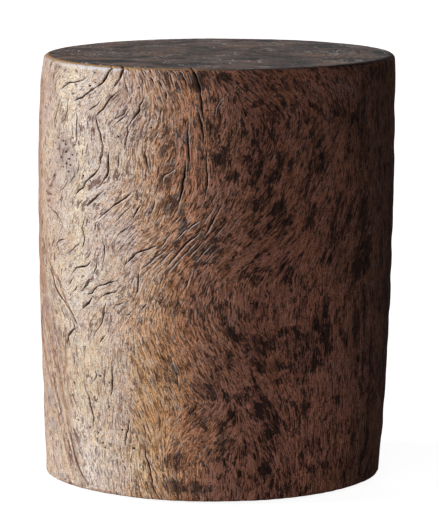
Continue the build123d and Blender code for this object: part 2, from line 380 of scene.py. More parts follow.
@dataclass
class DryingChecks:
    """The cracks that opened in the block as it dried, read from the photograph where it shows them."""

    camera: PhotoCamera
    block: BlockShape
    layer_count: int = 2
    influence: float = 6.0
    clear_of_others: float = 5.0
    pit_pale: float = 0.7
    pit_half_height: float = 0.9
    pit_step: float = 0.35
    behind_pale: float = 0.2
    behind_seed: int = 500
    # The fine checks: where they lie in degrees round the block and millimetres up, and their sizes
    fine_count: int = 46
    fine_seed: int = 11
    fine_line_seed: int = 600
    fine_right: tuple[float, float] = (70, 172)
    fine_left: tuple[float, float] = (-172, -84)
    fine_middles: tuple[float, float] = (20, 430)
    fine_lengths: tuple[float, float] = (16, 60)
    fine_lean: float = 0.25
    fine_sway: float = 2.5
    fine_widths: tuple[float, float] = (0.8, 1.7)
    fine_pale: float = 0.3
    # Each check's greatest width, how pale its right lip is, and its pixels
    front: tuple[tuple[float, ...], ...] = (
        # Under the rim at the left
        (1.0, 0.3, 60, 90, 64, 86, 68, 82.4, 72, 82.6, 76, 82, 80, 81, 83, 80, 86, 77),
        (2.0, 0.5, 111.6, 64.6, 110.7, 67.3, 108.3, 72, 105.7, 76.7, 101.7, 82.7, 95, 88.3),
        (1.6, 0.3, 97, 86.5, 91.7, 90, 88.3, 92.7, 84, 95, 81.7, 97.8, 77, 99, 73, 101),
        (2.6, 0.4, 122, 64.8, 121.7, 67, 121.2, 73, 119.7, 78, 115.7, 84, 111.7, 89.3),
        (1.7, 0.5, 118.3, 91.3, 115, 94, 109.7, 99.3, 105.7, 104, 101.7, 110, 97, 114, 95.3, 117),
        (2.0, 0.3, 95, 115, 96.3, 122.7, 98.3, 128.7, 99.7, 134.7, 100.7, 140.7, 103, 146.7),
        (1.6, 0.2, 103, 145, 102.3, 153.3, 100.7, 158.7, 100, 164, 99, 170),
        (1.7, 0.3, 99.5, 168, 95, 173.3, 90.3, 177.3, 85.7, 182, 83, 188, 77.7, 190.3, 75, 195.3),
        (0.9, 0.1, 75.7, 110, 76.3, 116.7, 76.3, 126, 76, 136, 74.5, 148),
        (0.8, 0.1, 60, 95.3, 58.7, 102, 56.7, 110, 55, 116.7, 53.7, 122.7, 53.5, 128),
        (0.8, 0.1, 67, 102, 67, 110, 65, 117, 64.5, 125), (0.9, 0.2, 88, 120, 87.5, 125, 88.5, 128),
        (1.0, 0.3, 113.7, 119.7, 119, 116.7, 123.7, 114, 128.3, 106.7),
        (0.9, 0.2, 115, 124, 120, 120, 126, 115, 130, 110),
        (0.8, 0.2, 99.7, 101, 95.7, 105.7, 91.7, 108, 87.3, 111),
        (1.8, 0.3, 144.3, 96.7, 142.3, 102, 139.3, 106.7, 138.7, 111, 134.3, 116.7, 130.3, 122.7),
        (1.1, 0.2, 132, 121, 127, 127.3, 127.3, 133.3, 126.3, 139.3, 125, 144, 124.7, 149.3),
        (1.0, 0.2, 125.3, 74.7, 124.3, 80, 125.7, 86, 127.7, 91.3, 127.7, 98.7),
        (0.9, 0.1, 128.3, 66.5, 128, 70),
        # Down the left third
        (0.8, 0.5, 123, 464, 126, 471), (1.1, 0.1, 48.3, 150, 48.7, 156),
        (2.0, 0.3, 109, 150.7, 108.3, 157.3, 108, 164, 108, 170.7, 107.3, 175.3, 103, 181.3),
        (1.0, 0.2, 104, 180, 101, 184.7, 98.3, 187, 96.3, 187.3),
        (1.0, 0.2, 117.7, 153.3, 118, 161.3, 118.3, 168),
        (0.8, 0.1, 79, 160.7, 79.3, 165.3, 78.3, 169.7, 77, 174.7),
        (0.8, 0.1, 75, 170, 74, 176.3, 71.3, 179.7, 69, 183.7),
        (0.8, 0.1, 67.7, 179.7, 65.7, 183.3, 63.7, 186.7, 60.3, 191),
        (0.7, 0.1, 55.3, 170.7, 53, 174.7, 51.3, 178.7),
        (1.2, 0.3, 103.7, 191, 99.7, 194, 97, 196, 93.7, 199, 90.3, 202.3, 86.7, 206.7),
        (2.0, 0.5, 132.3, 191, 129.7, 194.7, 124, 199, 119.7, 201.7, 114.3, 205.3, 109, 209.3),
        (1.5, 0.4, 111, 208, 104.3, 213.3, 100, 217.3, 97.7, 219.7),
        (1.0, 0.2, 131, 206, 127, 210, 121.7, 214.7, 118.3, 218.7, 114.3, 223),
        (0.9, 0.2, 131, 225.3, 125, 230, 121, 232.7, 117, 236),
        (1.1, 0.2, 85.3, 216, 83.3, 224, 81.7, 228, 83, 234, 84.3, 238.7, 82.3, 246, 80.7, 248.3),
        (0.9, 0.1, 96.3, 222.7, 95.3, 227.3, 95.3, 230),
        (0.8, 0.1, 49.7, 207.3, 56.3, 214, 60.3, 219.3, 62.7, 224),
        (1.0, 0.2, 78.7, 243.7, 75, 246.3, 72.3, 249.3, 69.7, 251.7, 66.7, 253.7),
        (0.8, 0.1, 89.7, 252, 87.7, 256.3, 85.3, 259.3),
        (1.2, 0.2, 90.7, 260, 88.3, 264, 85.7, 266.3, 81, 266.9, 76.3, 267.7, 73.7, 271, 71.3, 274.7),
        (1.1, 0.1, 102, 240, 103.3, 246, 104, 252, 103.7, 258.7, 102.7, 264),
        (0.8, 0.1, 96.7, 260, 96.3, 266.7, 94.7, 271.3, 93.7, 274.3),
        (0.9, 0.2, 93, 279.3, 89.7, 280, 87.7, 283.3, 85, 287, 81.7, 290.3, 79.3, 292),
        (1.8, 0.5, 114.7, 281, 111.7, 282.3, 108.3, 282.7, 104.3, 285, 99, 285.7, 95.7, 287.3),
        (1.6, 0.4, 97.5, 286.3, 93.7, 290, 91.3, 293.3, 87, 294.7),
        (1.7, 0.4, 92.7, 296, 91, 299.3, 88.3, 303.3, 85, 306.3, 82.3, 309),
        (1.3, 0.2, 106, 303.3, 104.3, 308, 103, 312.7, 102.3, 318, 100.7, 324, 97.7, 328.7),
        (0.9, 0.1, 99, 327, 94.3, 333, 93.5, 338),
        (1.2, 0.3, 117.7, 290, 115, 292.7, 110.3, 293, 105.7, 294.3, 102.3, 296, 100, 298.7),
        (1.0, 0.8, 127, 258.7, 126.3, 262, 124.7, 266, 123.7, 269.3),
        (0.9, 0.2, 124.3, 302, 120.3, 304, 115.7, 305.7, 113.3, 309.3),
        (0.9, 0.1, 77.3, 286, 75, 289.3, 72.3, 292.7), (0.8, 0.1, 73.7, 277.3, 70.7, 280.7, 68.3, 286),
        (0.8, 0.1, 64, 239.7, 60.7, 239.9, 57.7, 241.3, 56, 244.7),
        (0.8, 0.1, 54.7, 238, 53, 242.7, 51.7, 248),
        # The root's fold and the foot at the left
        (2.2, 0.2, 49.3, 266, 51.3, 272.7, 53.3, 278, 55, 286, 58.7, 294, 63.7, 300, 67, 305.3),
        (1.4, 0.2, 66, 304, 70.3, 312, 73.7, 318.7, 76.3, 323.3),
        (1.6, 0.2, 72.3, 321.3, 73.7, 325.3, 74.3, 328.7, 71, 332, 68.7, 335.3, 67.7, 340, 66.3, 345.3),
        (0.9, 0.1, 105.7, 335, 101.7, 339.3, 99.7, 343.3), (0.8, 0.1, 72.3, 352, 73.5, 357.3, 73.5, 365.3),
        (0.9, 0.2, 95.7, 370.7, 96.3, 375.3, 95, 378.7, 93.3, 381.3),
        (1.3, 0.2, 111.3, 362.7, 111.7, 371.3, 112.3, 378.7, 111.7, 386.7, 111, 392.7, 110.3, 396),
        (1.3, 0.2, 86.3, 390.7, 88.3, 395.3, 89.7, 404, 91, 410.7, 93, 416.7, 93, 428.8),
        (1.4, 0.5, 130, 420, 128.5, 424, 127.5, 430, 126, 434, 125.5, 437, 125, 441, 126, 446),
        (1.0, 0.1, 68, 427.6, 70, 434, 72.3, 449.3, 75, 460, 77.7, 465.6, 83, 478, 87, 486),
        (0.9, 0.1, 97.5, 431, 97.5, 435),
        (1.1, 0.3, 145, 440, 145.4, 457.9, 148.6, 465, 150.4, 472, 153, 488.7, 160.5, 500),
        (1.2, 0.2, 176.5, 371, 177.5, 379, 178, 387.8),
        # The widest check, right of the middle of the lit side, and those below it
        (3.4, 0.2, 191.5, 66.8, 192.3, 69.3, 194.7, 74, 197, 78.7, 198.3, 83.3, 200, 90, 200.3, 97),
        (2.8, 0.2, 200.2, 93, 201.7, 102.7, 201.7, 110, 202.7, 115.3, 204, 119.3),
        (2.0, 0.2, 198.7, 112, 199.7, 117.3, 201, 122.7, 201.7, 128.7, 203.3, 133.3, 204, 143.3),
        (1.5, 0.2, 188.3, 122, 187.7, 132, 188.5, 144.7, 188.3, 151.3, 189.3, 162.7, 189, 168),
        (2.2, 0.7, 186.3, 160.7, 185, 166.7, 184.7, 176, 183, 182.7, 181, 194.7, 177.7, 208.7),
        (1.5, 0.3, 146.3, 144, 145.3, 150, 145, 155.3, 146.7, 162, 148, 168.7, 148.7, 173.3),
        (1.1, 0.4, 141.7, 204, 139.3, 207.3, 136.3, 211.3, 132.3, 219.3),
        (1.0, 0.3, 155, 200.7, 153.7, 206.7, 152.3, 210.7), (1.1, 0.2, 141, 70, 144, 76, 146, 79.5),
        (0.9, 0.2, 155, 71, 158, 76), (1.1, 0.3, 167.7, 70.7, 171, 77.3, 174.3, 87.3),
        (1.1, 0.3, 182.3, 74, 185, 81.3, 187.7, 91.3), (0.9, 0.2, 165, 91.3, 166.7, 98.7),
        (0.9, 0.2, 145.7, 110, 145.3, 117.3), (1.1, 0.8, 159.3, 130, 156.3, 134.7, 154, 139.3),
        (1.2, 0.4, 207, 150, 206, 164, 208, 178, 205, 198),
        # The wind of the grain at mid height
        (1.9, 0.8, 157.5, 245.5, 150, 248.5, 143, 251, 137, 253, 131.5, 258, 126, 264),
        (1.3, 0.7, 139.5, 270, 138.5, 276, 137.7, 283, 137.5, 289, 135.5, 297),
        (1.7, 0.8, 200, 232, 195, 237, 190, 240.5, 186, 244, 181, 249, 173.5, 258.5, 168, 266),
        (1.1, 0.8, 171, 232, 169, 236, 166, 240, 160, 249), (1.1, 0.8, 167, 257, 160, 263),
        (1.0, 0.7, 163, 272, 163.5, 277, 162.5, 280),
        (1.2, 0.7, 223, 202, 217, 214, 213, 221, 208, 230, 204, 238),
        (1.0, 0.5, 192, 270, 189, 278, 187, 284, 182, 294), (0.9, 1.0, 174, 249, 167, 255, 160, 262),
        (0.9, 1.0, 183, 256, 176, 263, 168, 272), (1.0, 1.0, 198, 239, 192, 246, 184, 255, 178, 262),
        (0.9, 1.0, 204, 241, 197, 248, 190, 256), (0.8, 1.0, 188, 228, 182, 233, 176, 240),
        (0.8, 0.9, 180, 216, 176, 220, 172, 226), (0.9, 1.0, 212, 244, 204, 252, 196, 262),
        (0.8, 0.9, 221, 246, 213, 252, 205, 262), (0.9, 0.9, 226, 224, 220, 230, 214, 238),
        (0.9, 1.0, 199, 221, 192, 226, 186, 232), (0.8, 0.9, 214, 208, 208, 217, 202, 226),
        (0.9, 1.0, 164, 252, 157, 256, 150, 262), (0.8, 0.9, 157, 258, 151, 262, 144, 268),
        (0.8, 0.9, 218, 190, 214, 198, 210, 205), (0.8, 0.8, 240, 217, 234, 224, 228, 232),
        (0.8, 1.0, 223.7, 96.7, 218.3, 103.3, 215.7, 108, 214.7, 116.7),
        (1.0, 0.8, 176, 168, 171, 172, 166, 174, 163, 178, 163, 187),
        (0.9, 0.9, 131, 312, 128, 315, 125, 316), (0.9, 0.9, 147, 304, 143, 308, 141, 311),
        (0.8, 0.8, 154, 305, 153, 310),
        # Short checks that fan out under the rim
        (1.2, 0.8, 141, 67, 143, 70, 146, 74), (1.0, 0.9, 148, 68, 151, 73),
        (1.2, 0.8, 156, 68.5, 158, 72, 161, 77), (1.2, 0.9, 165, 69, 168, 75, 169, 79),
        (1.1, 0.9, 172, 70, 175, 74, 178, 79), (1.0, 0.8, 158, 79, 160, 83, 163, 89),
        (1.1, 0.7, 176, 80, 178, 85, 181, 92), (1.2, 0.9, 180, 71, 183, 76),
        (1.1, 0.7, 150, 77, 152, 80, 154, 84), (1.0, 0.8, 187, 72, 189, 78, 191, 84),
    )
    # Open pits: the middle pixel and the width
    pits: tuple[tuple[float, float, float], ...] = (
        (57.5, 149, 4.9), (66, 152, 4.9), (57, 138, 3.4), (63, 141, 4.3), (65, 145, 3.6), (70, 165, 4.3),
        (59, 145, 3.4), (61, 134, 3.4), (72, 138, 3.1), (68, 172, 4.3), (72, 155, 3.4), (54, 143, 3.1),
        (74, 145, 3.1), (66, 164, 4.9), (63, 167, 4.3), (61, 158, 3.9), (69, 159, 3.6), (46, 222, 4.6),
        (89.5, 86, 2.0), (93.5, 73, 2.0), (94.5, 82.5, 1.9), (51.5, 411, 2.7), (54, 412.5, 2.2),
        (53, 418, 2.4), (49.5, 421, 2.2), (74, 383, 2.4), (77.5, 420, 2.2), (89.5, 428, 2.2),
        (93, 420, 3.0), (109, 407, 2.2), (102.5, 443, 2.4), (104.5, 448, 2.4), (121.5, 430, 2.7),
        (133.5, 448.5, 3.2), (46, 266, 2.7), (46.5, 271, 2.4), (225, 324, 3.0), (139, 88, 2.0),
        (151, 128, 2.0), (64, 446, 2.2), (64, 480, 2.2), (83, 176, 1.9), (90, 181, 1.9), (118, 137, 1.9),
        (100, 376, 2.4), (109, 383, 2.0),
    )
    # Widths, then azimuths in degrees and shares of the stool's height, as on the solid block behind
    behind: tuple[tuple[float, ...], ...] = (
        (2.7, 104.0, 1.015, 103.0, 0.975, 101.5, 0.930, 103.5, 0.860),
        (2.4, 151.0, 1.015, 152.0, 0.980, 150.0, 0.930, 147.0, 0.880, 148.0, 0.810),
        (2.2, 171.0, 0.560, 173.5, 0.500, 172.0, 0.440, 175.0, 0.370),
        (2.7, -140.0, 1.015, -138.5, 0.975, -141.0, 0.920, -139.0, 0.860),
        (2.4, -117.0, 0.240, -118.5, 0.160, -116.0, 0.080, -117.0, -0.015),
        (2.2, 128.0, 0.190, 126.5, 0.120, 128.5, 0.060, 127.5, -0.015),
    )
    lines: list[CheckLine] = field(default_factory=list)

    def __post_init__(self) -> None:
        """Lays every check out on the unrolled wall."""
        for seed, (width, pale, *pixels) in enumerate(self.front):
            points = self.block.meet(self.camera, np.reshape(pixels, (-1, 2)))
            self.lines.append(CheckLine.along(points, width, pale, seed))
        for across, down, width in self.pits:
            low, high = down + self.pit_half_height, down - self.pit_half_height
            ends = self.block.meet(self.camera, np.array([(across, low), (across, high)]))
            points = resampled(ends, self.pit_step)
            half_width = 0.5 * width * np.sqrt(1 - np.linspace(-1, 1, len(points)) ** 2)
            self.lines.append(CheckLine(points, half_width, self.pit_pale))
        block = self.block
        wall_offset = (block.foot_way - block.foot - block.foot_radius) / MILLIMETRE
        for seed, (width, *places) in enumerate(self.behind):
            degrees, shares = np.reshape(places, (-1, 2)).T
            across = np.radians(degrees) * block.mean_radius / MILLIMETRE
            ways = shares * (block.top / MILLIMETRE) + wall_offset
            points = np.stack([across, ways], axis=-1)
            self.lines.append(CheckLine.along(points, width, self.behind_pale, self.behind_seed + seed))
        self.lines.extend(self.fine_lines())

    def fine_lines(self) -> list[CheckLine]:
        """Short checks down the sides and back that the photograph doesn't show, drawn by chance.

        Returns:
            The checks.
        """
        draw = np.random.default_rng(self.fine_seed)
        made = []
        for seed in range(self.fine_count):
            azimuth = draw.choice([draw.uniform(*self.fine_right), draw.uniform(*self.fine_left)])
            middle = draw.uniform(*self.fine_middles)
            length = draw.uniform(*self.fine_lengths)
            steps = np.linspace(-0.5, 0.5, 6)
            lean = draw.uniform(-self.fine_lean, self.fine_lean)
            sway = np.sin(steps * 5 + draw.uniform(0, 6)) * self.fine_sway
            across = radians(azimuth) * self.block.mean_radius / MILLIMETRE + steps * length * lean + sway
            ways = np.clip(middle + steps * length, 6, self.block.rim_way / MILLIMETRE - 2)
            width = draw.uniform(*self.fine_widths)
            points = np.stack([across, ways], axis=-1)
            made.append(CheckLine.along(points, width, self.fine_pale, self.fine_line_seed + seed))
        return made

    def layers(self) -> list[list[CheckLine]]:
        """The checks sorted into layers, so that those in one layer keep clear of each other.
        """
        layers: list[list[CheckLine]] = [[] for _ in range(self.layer_count)]
        for line in self.lines:
            for layer in layers:
                gaps = [np.hypot(*(line.points[:, None] - other.points[None]).T).min() for other in layer]
                if not gaps or min(gaps) > self.clear_of_others:
                    layer.append(line)
                    break
            else:
                layers[-1].append(line)
        return layers

    def fields(self, places: np.ndarray) -> list[np.ndarray]:
        """What the wood's finish needs to draw each layer's checks, at places on the unrolled wall.

        A row holds the distance to the nearest check, its half width and how pale its lip is. The
        half width falls below nothing away from the check, so that no line shows where the nearest
        check changes from one to another.

        Args:
            places: The places, one row each.

        Returns:
            One array of rows for each layer.
        """
        found = []
        for layer in self.layers():
            rows = np.tile([self.influence, -self.influence, 0.0], (len(places), 1))
            for line in layer:
                low, high = line.points.min(axis=0) - self.influence, line.points.max(axis=0) + self.influence
                near = np.flatnonzero(((places > low) & (places < high)).all(axis=1))
                if not len(near):
                    continue
                distance, half_width = line.nearest(places[near])
                closer = np.abs(distance) < np.abs(rows[near, 0])
                distance, half_width = distance[closer], half_width[closer]
                edge = half_width - 2 * np.maximum(np.abs(distance) - 2, 0)
                rows[near[closer]] = np.column_stack([distance, edge, np.full(len(edge), line.pale)])
            found.append(rows)
        return found

    def distance(self, places: np.ndarray) -> np.ndarray:
        """How far places on the unrolled wall lie from the nearest check."""
        return np.min([np.abs(rows[:, 0]) for rows in self.fields(places)], axis=0)


@dataclass
class GrainFlow:
    """Which way the wood's fibres run on the block, as turns from upright towards the right.

    The turn at a place is the mean of those along the checks and the fibre strokes read from the
    photograph, weighed by how near they lie, and upright where none is near. Turns are averaged as
    the cosine and sine of twice the turn, which are the same for both ends of a fibre.
    """

    camera: PhotoCamera
    block: BlockShape
    checks: DryingChecks
    columns: int = 110
    rows: int = 46
    near_reach: float = 7.0
    far_reach: float = 22.0
    far_weight: float = 0.03
    upright_weight: float = 0.002
    upright_from: float = 2.5
    strokes: tuple[tuple[float, float, float, float], ...] = (
        # Left third: upright fibres beside the checks
        (45, 100, 44, 145), (62, 200, 60, 236), (90, 340, 92, 384), (84, 60.5, 80, 78),
        (104, 400, 106, 446), (118, 440, 122, 490), (95, 440, 101, 490),
        # The root's fold at the lower left: fibres that run down to the right
        (41, 300, 47, 345), (43, 345, 52, 392), (50, 330, 60, 372), (56, 372, 66, 412), (48, 400, 56, 440),
        (62, 410, 72, 444), (70, 438, 84, 482), (54, 440, 64, 474), (46, 430, 52, 464), (80, 440, 92, 484),
        (70, 350, 76, 392), (80, 392, 87, 430),
        # Under the rim: fibres that fan out to the right
        (150, 74, 160, 92), (163, 74, 176, 100), (214, 76, 226, 92), (238, 75, 265, 100),
        (250, 74, 276, 98), (300, 80, 314, 102), (330, 72, 342, 96), (222, 97, 214, 118),
        (345, 118, 330, 142), (316, 118, 306, 140),
        # Middle: from the upper right to the lower left
        (224, 202, 206, 232), (236, 190, 222, 226), (216, 210, 196, 240), (202, 236, 176, 260),
        (180, 236, 160, 256), (255, 215, 236, 236), (275, 222, 252, 244), (290, 232, 266, 252),
        (240, 244, 214, 262), (270, 252, 246, 268), (182, 180, 178, 200), (200, 110, 204, 140),
        (206, 150, 206, 190), (225, 130, 214, 160), (164, 130, 156, 146), (150, 250, 130, 262),
        (176, 244, 160, 262), (144, 190, 136, 212), (166, 206, 160, 222),
        # Right: steeper, then upright
        (312, 214, 300, 246), (330, 220, 320, 256), (352, 200, 344, 236), (366, 230, 356, 266),
        (300, 150, 292, 180), (376, 120, 376, 170), (384, 90, 384, 140), (380, 240, 379, 300),
        (350, 130, 352, 160), (265, 150, 258, 176), (330, 100, 340, 126), (270, 180, 262, 206),
        (376, 330, 373, 390), (372, 400, 368, 460),
        # Below the wind: upright again
        (186, 284, 182, 310), (215, 280, 208, 310), (240, 285, 236, 310), (270, 285, 266, 320),
        (300, 280, 296, 320), (330, 290, 326, 330), (150, 300, 147, 325), (126, 320, 122, 360),
        (280, 350, 284, 390), (320, 350, 318, 400), (350, 350, 348, 400), (300, 420, 299, 470),
        (340, 410, 337, 460), (200, 470, 203, 495), (240, 470, 242, 495), (280, 470, 280, 490),
        (150, 472, 156, 494),
        # Low down: fibres that curve away to the right
        (147, 339, 160, 362), (158, 352, 175, 379), (150, 372, 164, 396), (131, 399, 142, 425),
        (138, 420, 150, 446), (172, 350, 190, 380), (190, 340, 206, 368), (188, 378, 208, 400),
        (212, 325, 232, 352), (226, 345, 250, 385), (244, 380, 262, 412), (240, 334, 262, 366),
        (256, 400, 276, 436), (270, 438, 282, 468), (262, 350, 280, 384),
        # And between them some that rise to the right
        (214, 404, 190, 430), (198, 418, 176, 446), (226, 420, 206, 446),
    )

    def samples(self) -> tuple[np.ndarray, np.ndarray]:
        """Places where the fibres' turn is known, and the cosine and sine of twice the turn.

        Returns:
            The places, one row each, and the two numbers for each place.
        """
        runs = [line.points for line in self.checks.lines]
        runs += [self.block.meet(self.camera, np.reshape(stroke, (2, 2))) for stroke in self.strokes]
        runs = [resampled(run, 5.0) for run in runs]
        places = np.concatenate([(run[1:] + run[:-1]) / 2 for run in runs])
        steps = np.concatenate([np.diff(run, axis=0) for run in runs])
        turn = np.arctan2(steps[:, 0], steps[:, 1])
        return places, np.stack([np.cos(2 * turn), np.sin(2 * turn)], axis=-1)

    def field(self, places: np.ndarray) -> np.ndarray:
        """The cosine and sine of twice the fibres' turn at places on the unrolled wall.

        The means are found on an even grid, and read between its nodes from the four round a
        place. Past a set azimuth the fibres turn upright, so that they meet behind.

        Args:
            places: The places, one row each.

        Returns:
            The two numbers for each place.
        """
        known, doubled = self.samples()
        half = pi * self.block.mean_radius / MILLIMETRE
        across = np.linspace(-half, half, self.columns)
        up = np.linspace(-20, self.block.top_way / MILLIMETRE + 20, self.rows)
        grid = np.stack(np.meshgrid(across, up), axis=-1).reshape(-1, 2)
        squared = ((grid[:, None] - known) ** 2).sum(-1)
        near = np.exp(-squared / (2 * self.near_reach**2))
        weight = near + self.far_weight * np.exp(-squared / (2 * self.far_reach**2))
        mean = (weight[:, :, None] * doubled).sum(axis=1)
        mean[:, 0] += self.upright_weight
        mean[np.abs(grid[:, 0]) > self.upright_from * half / pi] = (1.0, 0.0)
        mean = (mean / np.hypot(*mean.T)[:, None]).reshape(self.rows, self.columns, 2)
        column = np.clip((places[:, 0] + half) / (across[1] - across[0]), 0, self.columns - 1.001)
        row = np.clip((places[:, 1] - up[0]) / (up[1] - up[0]), 0, self.rows - 1.001)
        left, low = column.astype(int), row.astype(int)
        right_share, high_share = (column - left)[:, None], (row - low)[:, None]
        lower, upper = (
            mean[level, left] * (1 - right_share) + mean[level, left + 1] * right_share
            for level in (low, low + 1)
        )
        return lower * (1 - high_share) + upper * high_share


@dataclass
class Stains:
    """The dark, grey and brown patches of the wall, at the places where the photograph shows them, with
    painted shade in two strips at the right edge and a painted highlight along the root's fold.
    """

    camera: PhotoCamera
    block: BlockShape
    least_reach: float = 2.0
    # Rows of a middle pixel, half a width and half a height, and a strength
    # Black and near black patches, most of them on the shaded side, and two tall strips at pixel columns 389
    # and 390 that are painted shade along the right edge
    dark: tuple[tuple[float, ...], ...] = (
        (234, 101, 5, 5, 0.6), (272, 120, 4, 3, 1.0), (241, 136, 8, 6, 0.6), (280, 161, 4, 8, 1.0),
        (290, 163, 4, 4, 1.0), (302, 138, 7, 4, 1.0), (319, 140, 9, 5, 1.0), (321, 164, 5, 16, 1.0),
        (273, 176, 8, 7, 1.0), (270, 192, 8, 6, 1.0), (279, 209, 7, 8, 1.0), (253, 234, 4, 5, 1.0),
        (234, 254, 4, 4, 1.0), (366, 148, 5, 22, 1.0), (354, 122, 5, 9, 1.0), (363, 213, 5, 24, 1.0),
        (361, 262, 11, 19, 2.2), (366, 246, 8, 14, 1.9), (322, 320, 7, 12, 1.0), (291, 331, 14, 5, 1.3),
        (300, 337, 11, 6, 1.4), (329, 346, 6, 10, 1.5), (271, 341, 4, 4, 1.0), (310, 365, 7, 5, 1.0),
        (278, 381, 8, 4, 1.0), (357, 327, 5, 24, 1.0), (237, 337, 10, 6, 1.0), (263, 409, 12, 13, 1.4),
        (271, 432, 9, 18, 1.9), (276, 446, 7, 6, 1.2), (191, 413, 6, 5, 0.7), (169, 205, 11, 11, 1.3),
        (182, 223, 5, 13, 0.7), (177, 244, 5, 4, 0.8), (177, 288, 3, 5, 1.0), (184, 280, 4, 6, 0.8),
        (157, 293, 3, 5, 0.8), (193, 256, 4, 7, 0.8), (193, 295, 4, 6, 0.8), (211, 250, 12, 6, 0.8),
        # The first patch below, a tall strip at pixel column 390, is painted shade along the right edge.
        (390, 290, 5, 150, 1.4), (166, 73, 9, 4, 0.8), (181, 76, 9, 5, 0.8), (205, 73, 10, 4, 0.8),
        (167, 157, 12, 16, 0.4), (165, 182, 10, 10, 0.5), (174, 462, 11, 9, 1.7), (176, 487, 13, 7, 1.6),
        (319, 322, 8, 12, 1.8), (172, 130, 9, 13, 0.15), (197, 488, 15, 7, 1.3), (170, 305, 14, 12, 0.6),
        (160, 376, 12, 12, 0.4), (364, 110, 5, 50, 0.5), (258, 104, 6, 4, 0.8), (246, 160, 6, 5, 0.8),
        (232, 176, 7, 5, 0.7), (262, 150, 5, 4, 0.8), (378, 72, 17, 9, 0.8), (240, 276, 9, 4, 0.8),
        (225, 268, 8, 4, 0.8), (300, 380, 9, 6, 0.8), (318, 352, 8, 5, 0.9), (255, 349, 7, 6, 0.8),
        (246, 396, 6, 8, 0.8), (305, 347, 26, 24, 0.5), (262, 352, 20, 20, 0.45), (275, 366, 14, 6, 1.2),
        # The last patch below, a strip at pixel column 389, is painted shade along the right edge.
        (305, 369, 14, 6, 1.2), (326, 340, 7, 10, 1.5), (264, 470, 8, 7, 0.8), (389, 285, 5, 40, 1.6),
        (225, 163, 9, 12, 0.7), (262, 203, 14, 10, 0.6), (339, 115, 12, 16, 0.4), (198, 80, 14, 11, 2.0),
        (224, 80, 10, 8, 1.2),
    )
    # Grey and lilac patches
    grey: tuple[tuple[float, ...], ...] = (
        (58, 67, 9, 3.5, 1.6), (64, 152, 11, 22, 1.2), (72, 174, 8, 11, 1.6), (127, 88, 7, 12, 0.6),
        (54, 294, 4, 12, 1.1), (47, 302, 5, 16, 0.9), (57, 334, 6, 9, 1.0), (50, 398, 4, 13, 1.9),
        (53, 425, 5, 9, 1.4), (77, 483, 6, 5, 1.0), (61, 477, 8, 4, 1.0), (204, 490, 14, 9, 0.8),
        (175, 463, 11, 9, 0.7), (173, 488, 9, 7, 0.7), (185, 140, 10, 20, 0.5), (345, 90, 16, 14, 0.6),
    )
    # Brown patches
    brown: tuple[tuple[float, ...], ...] = (
        (302, 158, 5, 20, 0.7), (344, 258, 6, 18, 0.7), (120, 96, 9, 10, 0.7),
    )
    # Streaks: what each does, half its width in pixels, its strength and its pixels
    streaks: tuple[tuple, ...] = (
        (Side.BROWN, 2.6, 1.0, 44, 300, 50, 335, 57, 370, 67, 414, 73.5, 450, 83, 487),
        (Side.GREY, 1.0, 2.0, 41, 305, 46, 340, 52, 370, 61, 414, 69, 450, 79, 487),
        (Side.BROWN, 1.0, 1.5, 40, 315, 43, 345, 49, 375, 57, 412, 66, 450, 75, 482),
        (Side.GREY, 0.8, 1.8, 47, 306, 53, 335, 60, 370, 70, 414, 77, 450, 87, 487),
        (Side.BROWN, 0.8, 1.6, 50, 306, 57, 335, 64, 372, 74, 414, 81, 455, 90, 487),
        (Side.BROWN, 3.0, 0.8, 39, 150, 39, 190, 39.5, 235),
        (Side.BROWN, 3.2, 1.3, 40, 250, 42, 270, 44, 292),
        (Side.BROWN, 1.3, 1.3, 43, 240, 47, 256, 53, 270, 60, 284, 67, 304, 74, 322),
        # The next grey streak is a painted highlight on the lit left side of the root's fold.
        (Side.GREY, 1.7, 1.8, 46, 276, 52, 291, 58, 301, 64, 310, 71, 320),
        (Side.GREY, 1.3, 1.6, 50, 322, 55, 331, 61, 341, 64, 352),
        (Side.BROWN, 1.0, 1.2, 60, 330, 64, 352, 67, 380, 70, 404),
        (Side.DARK, 0.7, 1.2, 52, 372, 58, 400, 64, 428, 70, 450, 76, 470),
        (Side.BROWN, 1.0, 1.4, 58, 480, 80, 487.5, 100, 491.5, 120, 495.5, 137, 498.5),
        (Side.DARK, 2.2, 0.9, 330, 67, 355, 64, 375, 60, 392, 56),
        (Side.BROWN, 2.4, 0.8, 42, 80, 40, 110, 39.5, 150, 39.5, 200, 40, 250),
        (Side.DARK, 1.4, 0.9, 366, 290, 364, 350, 361, 400),
        (Side.DARK, 1.3, 0.8, 372, 330, 370, 390, 366, 450),
    )

